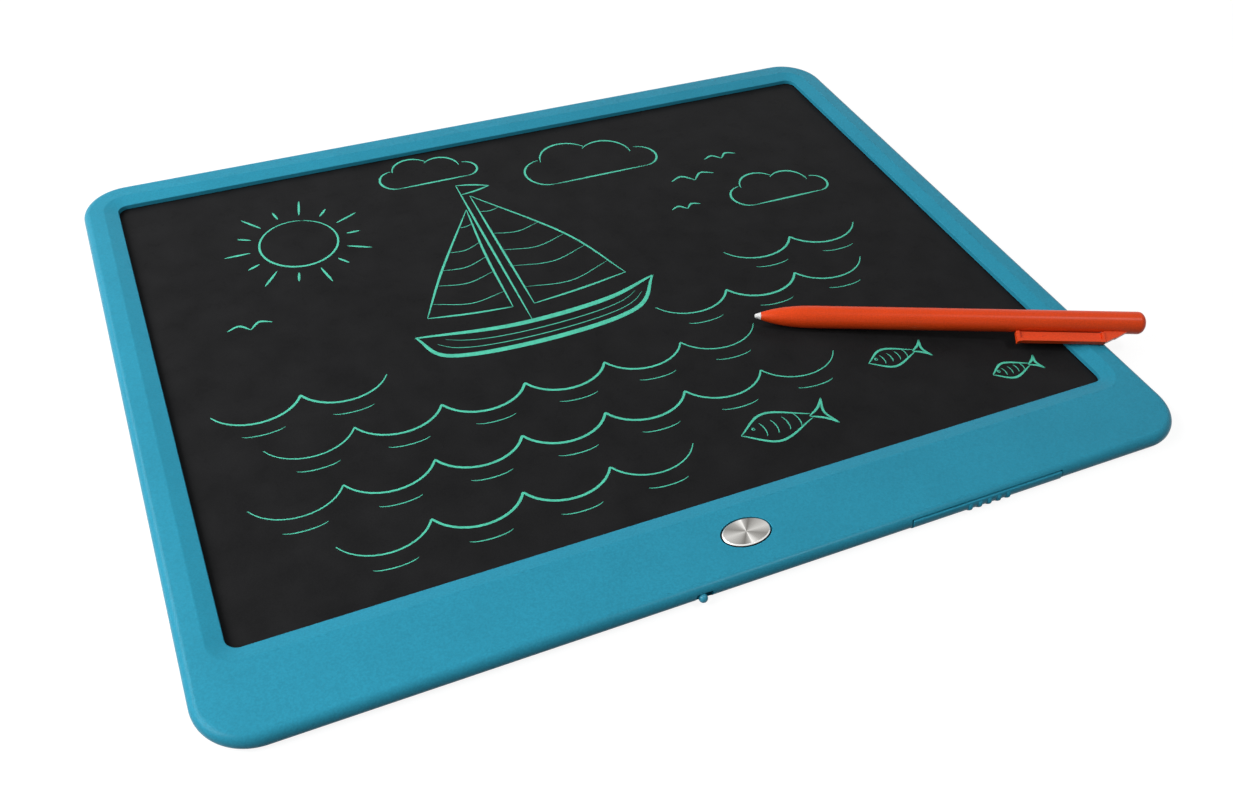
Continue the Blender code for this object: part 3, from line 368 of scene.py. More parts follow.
class Surface:
    """A procedural material whose textures lie in the piece's own coordinates."""

    def __init__(self, name, colour, roughness, metallic=0.0, specular=0.5):
        self.made = bpy.data.materials.new(name)
        self.made.use_nodes = True
        self.tinted = self.made.diffuse_color = (*colour, 1.0)
        self.tree = self.made.node_tree
        self.shader = self.tree.nodes["Principled BSDF"]
        self.feed("Base Color", self.tinted)
        self.feed("Roughness", roughness)
        self.feed("Metallic", metallic)
        self.feed("Specular IOR Level", specular)
        self.roughness = roughness
        self.bumped = None
        self.place = self.node("TexCoord", {}).outputs["Object"]

    def node(self, kind, inputs, **settings):
        """A new node of this material."""
        return add_node(self.tree, kind, inputs, **settings)

    def feed(self, name, source):
        """Lets an input of the shader follow a socket or hold a value."""
        feed(self.tree, self.shader.inputs[name], source)

    def stretched(self, factors):
        """Coordinates multiplied along each axis, for grain that runs one way."""
        return self.node("VectorMath", {0: self.place, 1: factors}, operation="MULTIPLY").outputs[0]

    def noise(self, size, detail=2.0, place=None):
        """Noise with patches of about the given size."""
        inputs = {"Vector": place or self.place, "Scale": 1 / size, "Detail": detail}
        return self.node("TexNoise", inputs).outputs["Fac"]

    def spread(self, factor, low, high, least=NOISE_LEAST, most=NOISE_MOST):
        """The factor's range from least to most, spread from low to high."""
        inputs = {"Value": factor, "From Min": least, "From Max": most, "To Min": low, "To Max": high}
        return self.node("MapRange", inputs).outputs["Result"]

    def tint(self, factor, other, blend="MIX"):
        """Blends the colour so far with another, following a factor."""
        node = self.node("Mix", {"Factor": factor}, data_type="RGBA", blend_type=blend)
        first, second = (item for item in node.inputs if item.type == "RGBA")
        feed(self.tree, first, self.tinted)
        feed(self.tree, second, (*other, 1.0))
        self.tinted = next(item for item in node.outputs if item.type == "RGBA")
        self.feed("Base Color", self.tinted)

    def shade(self, factor, share):
        """Darkens the colour by up to a share of itself, following a factor."""
        self.tint(self.spread(factor, 0.0, 1.0), [1 - share] * 3, "MULTIPLY")

    def roughen(self, factor, share):
        """Varies the roughness by a share to both sides, following a factor."""
        low = self.roughness * (1 - share)
        high = min(1.0, self.roughness * (1 + share))
        self.feed("Roughness", self.spread(factor, low, high))

    def bump(self, factor, depth):
        """Adds relief of a depth to what the surface already has."""
        inputs = {"Distance": depth, "Height": factor}
        if self.bumped:
            inputs["Normal"] = self.bumped
        self.bumped = self.node("Bump", inputs).outputs["Normal"]
        self.feed("Normal", self.bumped)


def moulded(name, colour, roughness, grain, relief, specular=0.5):
    """Moulded plastic: cloudy pigment, the mould's fine grain, and handling marks in its sheen."""
    surface = Surface(name, colour, roughness, specular=specular)
    surface.shade(surface.noise(grain * PIGMENT_CLOUDS, detail=3.0), share=0.06)
    surface.shade(surface.noise(grain * PIGMENT_SPECKS, detail=1.0), share=0.15)
    surface.roughen(surface.noise(grain * HANDLING_MARKS, detail=4.0), share=0.06)
    surface.bump(surface.noise(grain * MOULD_WAVES), relief * MOULD_WAVE_DEPTH)
    surface.bump(surface.noise(grain), relief)
    return surface.made


def metal(name, colour, roughness, grain_run):
    """Rolled or plated metal with faint drawn lines along one axis and dull patches."""
    surface = Surface(name, colour, roughness, metallic=1.0)
    lines = surface.noise(METAL_LINE, place=surface.stretched(grain_run))
    surface.shade(lines, share=0.12)
    surface.shade(surface.noise(0.002, detail=3.0), share=0.1)
    surface.roughen(surface.noise(0.0008, detail=3.0), share=0.35)
    surface.bump(lines, depth=0.000004)
    return surface.made


def spun_metal():
    """The cap's metal: fine rings left by turning, a painted fan of light and dark reflection wedges, and
    painted shade on its side.
    """
    surface = Surface("spun_metal", SPUN_METAL, 0.3, metallic=1.0)
    middle = (CAP_LOW + CAP_HIGH) / 2
    offset = surface.node("VectorMath", {0: surface.place, 1: middle}, operation="SUBTRACT").outputs[0]
    upward = (0.0, 0.0, 1.0)
    along = surface.node("VectorMath", {0: upward, 1: offset}, operation="CROSS_PRODUCT").outputs[0]
    surface.feed("Tangent", along)
    surface.feed("Anisotropic", CAP_STRETCH)
    radius = surface.node("VectorMath", {0: along}, operation="LENGTH").outputs["Value"]
    parts = surface.node("SeparateXYZ", {0: offset}).outputs
    angle = surface.node("Math", {0: parts["Y"], 1: parts["X"]}, operation="ARCTAN2").outputs[0]
    half_turn = surface.node("Math", {0: angle, 1: pi}, operation="FLOORED_MODULO").outputs[0]
    fan = surface.node("ValToRGB", {"Fac": surface.spread(half_turn, 0.0, 1.0, 0.0, pi)})
    marks = fan.color_ramp.elements
    while len(marks) < len(CAP_FAN):
        marks.new(0.5)
    for mark, (turn, tone) in zip(marks, CAP_FAN):
        mark.position = turn / 180
        mark.color = (tone, tone, tone, 1.0)
    # Painted highlight: light and dark reflection wedges painted into the colour by the angle round the
    # cap
    surface.tint(fan.outputs["Color"], PAINTED_FAN_HIGHLIGHT)
    inputs = {"W": radius, "Scale": 1 / METAL_LINE, "Detail": 2.0}
    rings = surface.node("TexNoise", inputs, noise_dimensions="1D").outputs["Fac"]
    surface.shade(rings, share=0.14)
    facing = surface.node("TexCoord", {}).outputs["Normal"]
    slope = surface.node("SeparateXYZ", {0: facing}).outputs["Z"]
    surface.tint(surface.spread(slope, 1.0, 0.0, *BEVEL_SLOPES), POLISHED_METAL)
    # Painted shade on the cap's upright side, where it stands in the button's gap
    surface.tint(surface.spread(slope, 1.0, 0.0, *SIDE_SLOPES), SHADED_METAL)
    surface.roughen(rings, share=0.15)
    surface.bump(rings, depth=0.000006)
    return surface.made


def writing_film():
    """The dark satin film, faintly mottled."""
    surface = Surface("writing_film", FILM_BLACK, 0.3, specular=0.015)
    mottle = surface.spread(surface.noise(0.012, detail=4.0), 0.0, 1.0)
    surface.tint(mottle, [part * FILM_MOTTLE for part in FILM_BLACK])
    surface.shade(surface.noise(0.0005), share=0.2)
    surface.roughen(surface.noise(0.006, detail=3.0), share=0.15)
    surface.bump(surface.noise(0.0004), depth=0.000003)
    surface.bump(surface.noise(0.05), depth=0.00012)
    return surface.made


def drawn_line():
    """The bright line that the stylus leaves, a little uneven along its length."""
    surface = Surface("drawn_line", LINE_GREEN, 0.5, specular=0.2)
    surface.shade(surface.noise(0.003, detail=3.0), share=0.22)
    surface.shade(surface.noise(0.0004), share=0.18)
    surface.roughen(surface.noise(0.001), share=0.2)
    surface.bump(surface.noise(0.0003), depth=0.000006)
    return surface.made


def foam():
    """Open foam: dark pores in a soft sheet."""
    surface = Surface("foam_pad", (0.12, 0.12, 0.12), 0.95, specular=0.2)
    pores = surface.noise(0.0006, detail=3.0)
    surface.shade(pores, share=0.5)
    surface.roughen(pores, share=0.04)
    surface.bump(pores, depth=0.0002)
    return surface.made


def solder_resist():
    """Green board with paler tracks under its lacquer."""
    surface = Surface("board_green", (0.02, 0.12, 0.05), 0.42)
    inputs = {"Vector": surface.place, "Scale": TRACKS_PER_METRE, "Mortar Size": TRACK_WIDTH_SHARE}
    tracks = surface.node("TexBrick", inputs).outputs["Fac"]
    surface.tint(tracks, (0.04, 0.21, 0.09))
    surface.roughen(surface.noise(0.0015, detail=3.0), share=0.2)
    surface.bump(tracks, depth=0.00003)
    return surface.made


def make_materials():
    """Every material, by the name of the record's slot that it belongs to."""
    lengthways = (0.02, 1.0, 1.0)
    return {
        "housing": moulded("teal_plastic", TEAL, 0.28, 0.0003, 0.000005, specular=0.08),
        "housing_small": moulded("teal_satin", TEAL, 0.34, 0.0002, 0.000004, specular=0.3),
        "film": writing_film(),
        "line": drawn_line(),
        "tape": moulded("black_tape", (0.01, 0.01, 0.01), 0.8, 0.0004, 0.00002),
        "backing": moulded("backing_sheet", (0.05, 0.05, 0.055), 0.6, 0.0005, 0.00001),
        "foam": foam(),
        "board": solder_resist(),
        "package": moulded("package_black", (0.015, 0.015, 0.016), 0.5, 0.00008, 0.000006),
        "capacitor": moulded("capacitor_tan", (0.45, 0.32, 0.18), 0.5, 0.0001, 0.000006),
        "cap": spun_metal(),
        "plated": metal("plated_metal", PLATED_METAL, 0.32, lengthways),
        "contact": metal("contact_metal", PLATED_METAL, 0.28, lengthways),
        "screw": metal("screw_metal", (0.55, 0.54, 0.52), 0.34, (1.0, 1.0, 0.05)),
        "dark": moulded("dark_plastic", DARK_PLASTIC, 0.55, 0.0002, 0.000006),
        "flex": moulded("amber_film", (0.5, 0.24, 0.04), 0.4, 0.0005, 0.000004),
        "lead_red": moulded("red_sheath", (0.5, 0.02, 0.02), 0.5, 0.0002, 0.000008),
        "lead_black": moulded("black_sheath", (0.015, 0.015, 0.015), 0.5, 0.0002, 0.000008),
        "stylus": moulded("orange_plastic", ORANGE, 0.32, 0.00025, 0.000003, specular=0.16),
        "tip": moulded("white_tip", WHITE_TIP, 0.5, 0.00015, 0.000004),
    }


def finish_mesh(name, shape):
    """Turns a bmesh into an object with outward faces."""
    bmesh.ops.recalc_face_normals(shape, faces=shape.faces)
    mesh = bpy.data.meshes.new(name)
    shape.to_mesh(mesh)
    shape.free()
    return put_in_scene(name, mesh)


def add_rings(shape, rings, closed=False):
    """Skins a row of rings with equal point counts, capped at both ends or joined end to end."""
    loops = [[shape.verts.new(point) for point in ring] for ring in rings]
    if closed:
        loops.append(loops[0])
    else:
        shape.faces.new(loops[0])
        shape.faces.new(loops[-1])
    for lower, upper in zip(loops, loops[1:]):
        for index, point in enumerate(lower):
            after = (index + 1) % len(lower)
            shape.faces.new((point, lower[after], upper[after], upper[index]))


def solids(name, ring_lists, closed=False):
    """One object of one or several solids, each skinned over its rings."""
    shape = bmesh.new()
    for rings in ring_lists:
        add_rings(shape, rings, closed)
    return finish_mesh(name, shape)


def apply_modifiers(made):
    """Bakes an object's modifiers into its mesh."""
    graph = bpy.context.evaluated_depsgraph_get()
    mesh = bpy.data.meshes.new_from_object(made.evaluated_get(graph))
    made.modifiers.clear()
    made.data = mesh


def combine(target, tool, operation):
    """Adds the tool's solids to the target or cuts them out of it."""
    modifier = target.modifiers.new("combine", "BOOLEAN")
    adjust(modifier, operation=operation, solver="EXACT", object=tool)
    apply_modifiers(target)
    bpy.data.objects.remove(tool, do_unlink=True)


def add(target, ring_lists):
    """Joins solids to the target, each skinned over its rings."""
    combine(target, solids("addition", ring_lists), "UNION")


def cut(target, ring_lists):
    """Cuts solids out of the target, each skinned over its rings."""
    combine(target, solids("cutter", ring_lists), "DIFFERENCE")


def break_edges(made, width, angle=SHARP_EDGE):
    """Rounds every edge sharper than the angle in degrees."""
    modifier = made.modifiers.new("edges", "BEVEL")
    adjust(modifier, width=width, segments=BREAK_STEPS, limit_method="ANGLE", angle_limit=radians(angle))
    apply_modifiers(made)


def shade_evenly(made):
    """Smooth shading in which the large faces stay flat."""
    made.data.shade_smooth()
    made.data.set_sharp_from_angle(angle=radians(SHARP_ANGLE))
    modifier = made.modifiers.new("even_normals", "WEIGHTED_NORMAL")
    adjust(modifier, mode="FACE_AREA", weight=LARGE_FACE_WEIGHT, keep_sharp=True)


def settle(made, body, slot, node=None, material=None):
    """Shades a finished piece, gives it the material of its slot, joins it to its body, and hides the node
    it stands for.
    """
    shade_evenly(made)
    dress(made, materials[material or slot])
    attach(made, body)
    if node:
        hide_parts(node)


def arc(centre, reach, start, end, steps):
    """Points of an oval between two angles in degrees; the reach is its half width and half height."""
    turns = [radians(start + (end - start) * step / steps) for step in range(steps + 1)]
    return [
        (centre[0] + reach[0] * cos(turn), centre[1] + reach[1] * sin(turn))
        for turn in turns
    ]


def rounded_box(low, high, radius, steps=CORNER_STEPS):
    """Points of a rectangle with round corners, in two coordinates."""
    left, right = low[0] + radius, high[0] - radius
    front, back = low[1] + radius, high[1] - radius
    points = []
    for turn, centre in enumerate(((right, front), (right, back), (left, back), (left, front))):
        points += arc(centre, (radius, radius), 90 * turn - 90, 90 * turn, steps)
    return points


def rounded_path(corners):
    """Points of a path through corners, each given as across, height and the radius that rounds it."""
    points = []
    for index, (across, height, radius) in enumerate(corners):
        here = Vector((across, height))
        if not radius:
            points.append(here)
            continue
        ways = [(Vector(corners[index + step][:2]) - here).normalized() for step in (-1, 1)]
        half = ways[0].angle(ways[1]) / 2
        centre = here + (ways[0] + ways[1]).normalized() * radius / sin(half)
        start, end = (here + way * radius / tan(half) - centre for way in ways)
        for step in range(ROUND_STEPS + 1):
            points.append(centre + start.lerp(end, step / ROUND_STEPS).normalized() * radius)
    return [tuple(point) for point in points]


def circle(centre, radius, sides=POST_SIDES):
    """Points of a circle in two coordinates."""
    return arc(centre, (radius, radius), 0, 360, sides)[:-1]


def level(outline, height):
    """A ring that lies flat at a height."""
    return [(x, y, height) for x, y in outline]


def upright(outline, y):
    """A ring that stands upright across Y."""
    return [(x, y, z) for x, z in outline]


def standing(outline, low, high):
    """Two rings of a prism that stands along Z."""
    return [level(outline, low), level(outline, high)]


def sideways(outline, low, high):
    """Two rings of a prism whose outline lies in Y and Z and which runs along X."""
    return [[(x, y, z) for y, z in outline] for x in (low, high)]


def block(low, high):
    """Rings of a box between two corners."""
    corners = [(low[0], low[1]), (high[0], low[1]), (high[0], high[1]), (low[0], high[1])]
    return standing(corners, low[2], high[2])


def pillar(place, radius, low, high):
    """Rings of a round pillar that stands along Z."""
    return standing(circle(place, radius), low, high)


def turned(profile, centre):
    """Rings of a solid turned about an upright axis; the profile is radius and height."""
    return [level(circle(centre, radius), height) for radius, height in profile]


def outer_ring(inset, height):
    """The tablet's outline, drawn in by the inset, at a height."""
    low = (-HALF_WIDTH + inset, -HALF_DEPTH + inset)
    high = (HALF_WIDTH - inset, HALF_DEPTH - inset)
    return level(rounded_box(low, high, OUTER_CORNER - inset), height)


def window_ring(offset, height):
    """The window's outline, widened by the offset, at a height."""
    grow = offset - FILM_LAP
    low = (FILM_LOW.x - grow, FILM_LOW.y - grow)
    high = (FILM_HIGH.x + grow, FILM_HIGH.y + grow)
    return level(rounded_box(low, high, WINDOW_CORNER + offset), height)


def bottom_inset(height):
    """How far the rounded underside edge lies inside the outline at a height."""
    rise = min(1.0, height / SEAM_HEIGHT)
    return BOTTOM_ROUND * (1 - sqrt(1 - (1 - rise) ** 2))


def bottom_edge():
    """Inset and height of the underside's round edge, from the flat back face up to the seam."""
    reach = (BOTTOM_ROUND, SEAM_HEIGHT)
    return arc(reach, reach, 270, 180, EDGE_STEPS)


def top_edge(highest=THICKNESS):
    """Inset and height of the top's round edge, from where it starts up to a height."""
    foot = THICKNESS - TOP_ROUND
    sweep = degrees(asin(min(1.0, (highest - foot) / TOP_ROUND)))
    return arc((TOP_ROUND, foot), (TOP_ROUND, TOP_ROUND), 180, 180 - sweep, EDGE_STEPS)


def middle_of(node):
    """Centre of a node's box in X and Y."""
    low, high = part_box(node)
    return ((low.x + high.x) / 2, (low.y + high.y) / 2)


def lock_slot():
    """Rings of the lock slider's slot through the front wall."""
    low = (LOCK_SLOT_X - LOCK_SLOT_WIDTH / 2, LOCK_HEIGHT - LOCK_SLOT_HEIGHT / 2)
    high = (LOCK_SLOT_X + LOCK_SLOT_WIDTH / 2, LOCK_HEIGHT + LOCK_SLOT_HEIGHT / 2)
    outline = rounded_box(low, high, LOCK_PIN / 2, ROUND_STEPS)
    return [upright(outline, -HALF_DEPTH - OVERRUN), upright(outline, WALL_BACK)]


def door_opening(top, back):
    """Rings of the battery door's space with its clearance, up to a height and back to a place."""
    half = DOOR_HALF + DOOR_EDGE_GAP
    return block((DOOR_X - half, -HALF_DEPTH - OVERRUN, -OVERRUN), (DOOR_X + half, back, top))


def nest_ring(height):
    """The open ring round the coin cell, which leaves its left side free for the contacts."""
    centre = middle_of("coin_cell")
    outer = CELL_ROOM + NEST_WALL
    outline = arc(centre, (outer, outer), NEST_FROM, NEST_TO, CIRCLE_SIDES)
    outline += arc(centre, (CELL_ROOM, CELL_ROOM), NEST_TO, NEST_FROM, CIRCLE_SIDES)
    return level(outline, height)


def head_hole_of(screw):
    """Radius and top of the hole round a screw's head."""
    low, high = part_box(screw)
    return (high.x - low.x) / 2 + GAP, low.z + HEAD_HEIGHT + GAP


def cap_ring(outset, height, share=1.0):
    """The metal cap's oval, widened by the outset and drawn in to a share, at a height."""
    reach = [((high - low) / 2 + outset) * share for low, high in zip(CAP_LOW, CAP_HIGH)]
    return level(arc(middle_of("button_cap"), reach, 0, 360, CIRCLE_SIDES)[:-1], height)


def button_cutter():
    """Rings of the button's hole, whose upper rim is rounded over."""
    rim = BUTTON_RING_GAP + HOLE_ROUND
    reach = (HOLE_ROUND, HOLE_ROUND)
    profile = [(BUTTON_RING_GAP, CEILING - OVERRUN)]
    profile += arc((rim, THICKNESS - HOLE_ROUND), reach, 180, 90, ROUND_STEPS)
    profile.append((rim, THICKNESS + OVERRUN))
    return [cap_ring(*spot) for spot in profile]


def make_bezel():
    """Top shell, with a soft crease round the sloped band and rounded rims at window and button."""
    window_side = rounded_path([
        (BAND_WIDTH + CREASE_ROUND, THICKNESS, 0),
        (BAND_WIDTH, THICKNESS, CREASE_ROUND),
        (0, LIP_TOP, LIP_ROUND),
        (0, LIP_UNDERSIDE, 0),
        (POCKET_OFFSET, LIP_UNDERSIDE, 0),
        (POCKET_OFFSET, TONGUE_FOOT, 0),
        (RIB_OFFSET, TONGUE_FOOT, 0),
        (RIB_OFFSET, CEILING, 0),
    ])
    wall_side = [
        (INNER_INSET, CEILING), (INNER_INSET, TONGUE_FOOT),
        (TONGUE_INSET, TONGUE_FOOT), (TONGUE_INSET, BEZEL_FOOT),
    ]
    rings = [outer_ring(*spot) for spot in [(0, BEZEL_FOOT), *top_edge()]]
    rings += [window_ring(*spot) for spot in window_side]
    rings += [outer_ring(*spot) for spot in wall_side]
    bezel = solids("bezel_shell", [rings], closed=True)

    root = CEILING + ROOT
    post = SHANK_HOLE + POST_WALL
    feet = {name: head_hole_of(name)[1] + SCREW_WEB for name in SCREWS}
    feet["door_screw"] = FLOOR + DOOR_BOSS
    add(bezel, [pillar(middle_of(name), post, foot + GAP, root) for name, foot in feet.items()])
    add(bezel, [[nest_ring(CEILING - NEST_DROP), nest_ring(root)]])

    cuts = [pillar(middle_of(name), SHANK_HOLE, foot - OVERRUN, CEILING) for name, foot in feet.items()]
    cuts += [button_cutter(), lock_slot(), door_opening(DOOR_TOP + DOOR_EDGE_GAP, WALL_BACK)]
    tail_low = (TAIL_LOW.x - GAP, RIB_FRONT - OVERRUN, TONGUE_FOOT - OVERRUN)
    cuts.append(block(tail_low, (TAIL_HIGH.x + GAP, RIB_FRONT + RIB_WALL, LIP_UNDERSIDE)))
    cut(bezel, cuts)
    settle(bezel, "housing", "housing", "front_bezel")


def make_cover():
    """Bottom shell with its smooth round edge, screw recesses and battery opening."""
    rings = [outer_ring(*spot) for spot in bottom_edge()]
    for step in range(EDGE_STEPS + 1):
        height = SEAM_HEIGHT - (SEAM_HEIGHT - FLOOR) * step / EDGE_STEPS
        rings.append(outer_ring(SIDE_WALL + bottom_inset(height), height))
    cover = solids("cover_shell", [rings])

    root = FLOOR - ROOT
    head_hole, head_top = head_hole_of(SCREWS[0])
    boss_top = head_top + SCREW_WEB
    bosses = [pillar(middle_of(name), head_hole + BOSS_WALL, root, boss_top) for name in SCREWS]
    pins = (
        (BOARD_LOW.x + PIN_INSET, BOARD_HIGH.y - PIN_INSET),
        (BOARD_HIGH.x - PIN_INSET, BOARD_LOW.y + PIN_INSET),
    )
    bosses += [pillar(place, PIN_RADIUS, root, BOARD_HIGH.z + PIN_RISE) for place in pins]
    add(cover, bosses)
    for sign in (-1, 1):
        inner = DOOR_X + sign * (DOOR_HALF + DOOR_EDGE_GAP)
        left, right = sorted((inner, inner + sign * CURB_WALL))
        add(cover, [block((left, WALL_BACK, root), (right, HINGE_Y, FLOOR + CURB_HEIGHT))])

    screw_way = [
        (head_hole + OVERRUN, -OVERRUN), (head_hole + ROOT, -ROOT), (head_hole, ROOT),
        (head_hole, head_top), (SHANK_HOLE, head_top), (SHANK_HOLE, boss_top + OVERRUN),
    ]
    cuts = [turned(screw_way, middle_of(name)) for name in SCREWS]
    cuts += [lock_slot(), door_opening(SEAM_HEIGHT + OVERRUN, HINGE_Y + FLOOR / 2 + GAP)]
    cut(cover, cuts)
    settle(cover, "housing", "housing", "back_cover")


def make_cap():
    """Spun metal cap: a slightly dished oval face inside a bright bevel."""
    edge = rounded_path([
        (0, CAP_LOW.z, 0),
        (0, CAP_HIGH.z - CAP_BEVEL, CAP_EDGE_ROUND),
        (-CAP_BEVEL, CAP_HIGH.z, CAP_EDGE_ROUND),
        (-CAP_BEVEL * 2, CAP_HIGH.z - CAP_DISH * CAP_RIM_SHARE, 0),
    ])
    rings = [cap_ring(*spot) for spot in edge]
    for step in range(1, EDGE_STEPS):
        share = step / EDGE_STEPS
        sink = CAP_DISH * (CAP_RIM_SHARE + (1 - CAP_RIM_SHARE) * sin(pi / 2 * share))
        rings.append(cap_ring(-CAP_BEVEL * 2, CAP_HIGH.z - sink, 1 - share))
    settle(solids("spun_cap", [rings]), "erase_button", "cap", "button_cap")


def make_lock():
    """Lock slider: a plate behind the wall, a round pin with a ball end, and the lug into the switch."""
    plate_back = WALL_BACK + LOCK_PLATE
    plate = block((LOCK_LOW.x, WALL_BACK, LOCK_LOW.z), (LOCK_HIGH.x, plate_back, LOCK_HIGH.z))
    slider = solids("lock_pin", [plate])
    break_edges(slider, EDGE_BREAK)
    pin_x = LOCK_SLOT_X - LOCK_TRAVEL / 2
    ball_y = -HALF_DEPTH - LOCK_BALL_OUT
    profile = [(LOCK_PIN, WALL_BACK + ROOT)]
    profile += arc((0, ball_y), (LOCK_PIN, LOCK_PIN), 0, -90, DOME_STEPS)[:-1]
    pin = [upright(circle((pin_x, LOCK_HEIGHT), radius), y) for radius, y in profile]
    lug_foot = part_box("slide_switch")[0].z + LOCK_LUG_RISE
    lug_low = (pin_x - LOCK_LUG_WIDTH / 2, plate_back - ROOT, lug_foot)
    lug_high = (pin_x + LOCK_LUG_WIDTH / 2, LOCK_HIGH.y, lug_foot + LOCK_LUG_THICKNESS)
    add(slider, [pin, block(lug_low, lug_high)])
    settle(slider, "lock_slider", "housing_small", "lock_slider")


def door_section():
    """Outline of the door in Y and Z: flat under the cell, round at its hinge, up over the front edge."""
    face = -HALF_DEPTH - DOOR_PROUD
    skirt = -HALF_DEPTH + DOOR_SKIRT
    outline = [(-HALF_DEPTH + BOTTOM_ROUND, 0)]
    outline += [(face + inset, height) for inset, height in bottom_edge()[1:] + top_edge(DOOR_TOP)]
    outline += [(skirt, DOOR_TOP), (skirt, SEAM_HEIGHT), (skirt + bottom_inset(FLOOR), FLOOR)]
    outline += arc((HINGE_Y, FLOOR / 2), (FLOOR / 2, FLOOR / 2), 90, -90, DOME_STEPS)
    return outline


def grip_rings(middle):
    """Rings, from foot to top, of one rounded grip rib that swells out of the door's front."""
    top = DOOR_TOP - GRIP_BELOW_TOP
    half = GRIP_WIDTH / 2
    rings = []
    for step in range(DOME_STEPS + 1):
        share = step / DOME_STEPS
        height = GRIP_FOOT + (top - GRIP_FOOT) * share
        swell = max(GRIP_END_SHARE, sin(pi * share)) ** GRIP_FULLNESS
        above = max(0.0, height - (THICKNESS - TOP_ROUND))
        inset = bottom_inset(height) + TOP_ROUND - sqrt(TOP_ROUND ** 2 - above ** 2)
        face = -HALF_DEPTH - DOOR_PROUD + inset
        root = face + DOOR_SKIRT / 2
        swollen = arc((middle, face), (half, GRIP_PROUD * swell), 0, -180, 2 * ROUND_STEPS)
        rings.append(level([*swollen, (middle - half, root), (middle + half, root)], height))
    return rings


def make_door():
    """Battery door: plate and skirt in one, rounded grip ribs, two hooks and a screw boss."""
    door = solids("door_shell", [sideways(door_section(), DOOR_LOW.x, DOOR_HIGH.x)])
    break_edges(door, EDGE_BREAK)
    place = middle_of("door_screw")
    head_hole, head_top = head_hole_of("door_screw")
    boss_top = FLOOR + DOOR_BOSS
    additions = [pillar(place, head_hole + BOSS_WALL, FLOOR - ROOT, boss_top)]
    hook_front = HINGE_Y - HOOK_WIDTH / 2
    hook_low = FLOOR + GAP
    hook = [
        (hook_front, FLOOR - ROOT), (HINGE_Y, FLOOR - ROOT), (HINGE_Y, hook_low), (DOOR_HIGH.y, hook_low),
        (DOOR_HIGH.y, hook_low + HOOK_THICKNESS), (hook_front, hook_low + HOOK_THICKNESS),
    ]
    for sign in (-1, 1):
        middle = DOOR_X + sign * (DOOR_HALF - HOOK_FROM_SIDE)
        additions.append(sideways(hook, middle - HOOK_WIDTH / 2, middle + HOOK_WIDTH / 2))
    first = DOOR_X - GRIP_PITCH * (GRIP_COUNT - 1) / 2
    additions += [grip_rings(first + GRIP_PITCH * index) for index in range(GRIP_COUNT)]
    add(door, additions)
    screw_way = [
        (head_hole, -OVERRUN), (head_hole, head_top),
        (SHANK_HOLE, head_top), (SHANK_HOLE, boss_top + OVERRUN),
    ]
    cut(door, [turned(screw_way, place)])
    settle(door, "battery_door", "housing", "battery_door")


def cross_rings(place, low):
    """Rings of a screw's cross recess, which narrows towards its floor."""
    rings = []
    for share, height in ((1.0, low - OVERRUN), (1.0, low), (CROSS_FLOOR_SHARE, low + CROSS_DEPTH)):
        arm = CROSS_REACH * share
        half = CROSS_HALF * share
        quarter = [(half, arm), (half, half), (arm, half)]
        ring = []
        for _ in range(4):
            ring += [(place[0] + x, place[1] + y, height) for x, y in quarter]
            quarter = [(y, -x) for x, y in quarter]
        rings.append(ring)
    return rings


def make_screw(node, body):
    """A cross-head screw with a rounded head edge and a pointed end."""
    low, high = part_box(node)
    place = middle_of(node)
    head = (high.x - low.x) / 2
    head_top = low.z + HEAD_HEIGHT
    profile = rounded_path([
        (head - HEAD_EDGE * 2, low.z, 0),
        (head, low.z, HEAD_EDGE),
        (head, head_top, HEAD_EDGE / 2),
        (SCREW_SHANK, head_top, 0),
        (SCREW_SHANK, high.z - SCREW_SHANK, 0),
        (SCREW_SHANK / 4, high.z, 0),
    ])
    screw = solids(node.replace("screw", "bolt"), [turned(profile, place)])
    cut(screw, [cross_rings(place, low.z)])
    settle(screw, body, "screw", node)


def stylus_placing():
    """The matrix that lays the stylus, drawn along X from its tip, on the film and the right border."""
    heading = radians(STYLUS_HEADING)
    window_right = FILM_HIGH.x - FILM_LAP
    tip_x = window_right - STYLUS_TIP_FROM_RIGHT
    tip_y = FILM_LOW.y + FILM_LAP + STYLUS_TIP_FROM_FRONT
    crease = (window_right + BAND_WIDTH - tip_x) / cos(heading)
    tilt = atan2(THICKNESS - FILM_TOP, crease - NOSE_LENGTH)
    height = FILM_TOP + GAP + STYLUS_RADIUS / cos(tilt) - NOSE_LENGTH * tan(tilt)
    return Matrix.Translation((tip_x, tip_y, height)) @ Euler((0, -tilt, heading)).to_matrix().to_4x4()


def along_axis(profile, sides=CIRCLE_SIDES):
    """Rings of a solid turned about the X axis; the profile is distance along it and radius."""
    return [[(x, y, z) for y, z in circle((0, 0), radius, sides)] for x, radius in profile]


def barrel_profile():
    """Distance and radius of the barrel: bullet nose, straight body, domed end."""
    profile = []
    for step in range(2 * EDGE_STEPS + 1):
        along = step / EDGE_STEPS / 2
        swell = 1 - (1 - along) ** NOSE_FULLNESS
        radius = TIP_BASE + (STYLUS_RADIUS - TIP_BASE) * swell
        profile.append((TIP_LENGTH + (NOSE_LENGTH - TIP_LENGTH) * along, radius))
    dome_start = STYLUS_LENGTH - DOME_LENGTH
    profile += arc((dome_start, 0), (DOME_LENGTH, STYLUS_RADIUS), 90, 0, DOME_STEPS)[:-1]
    return profile


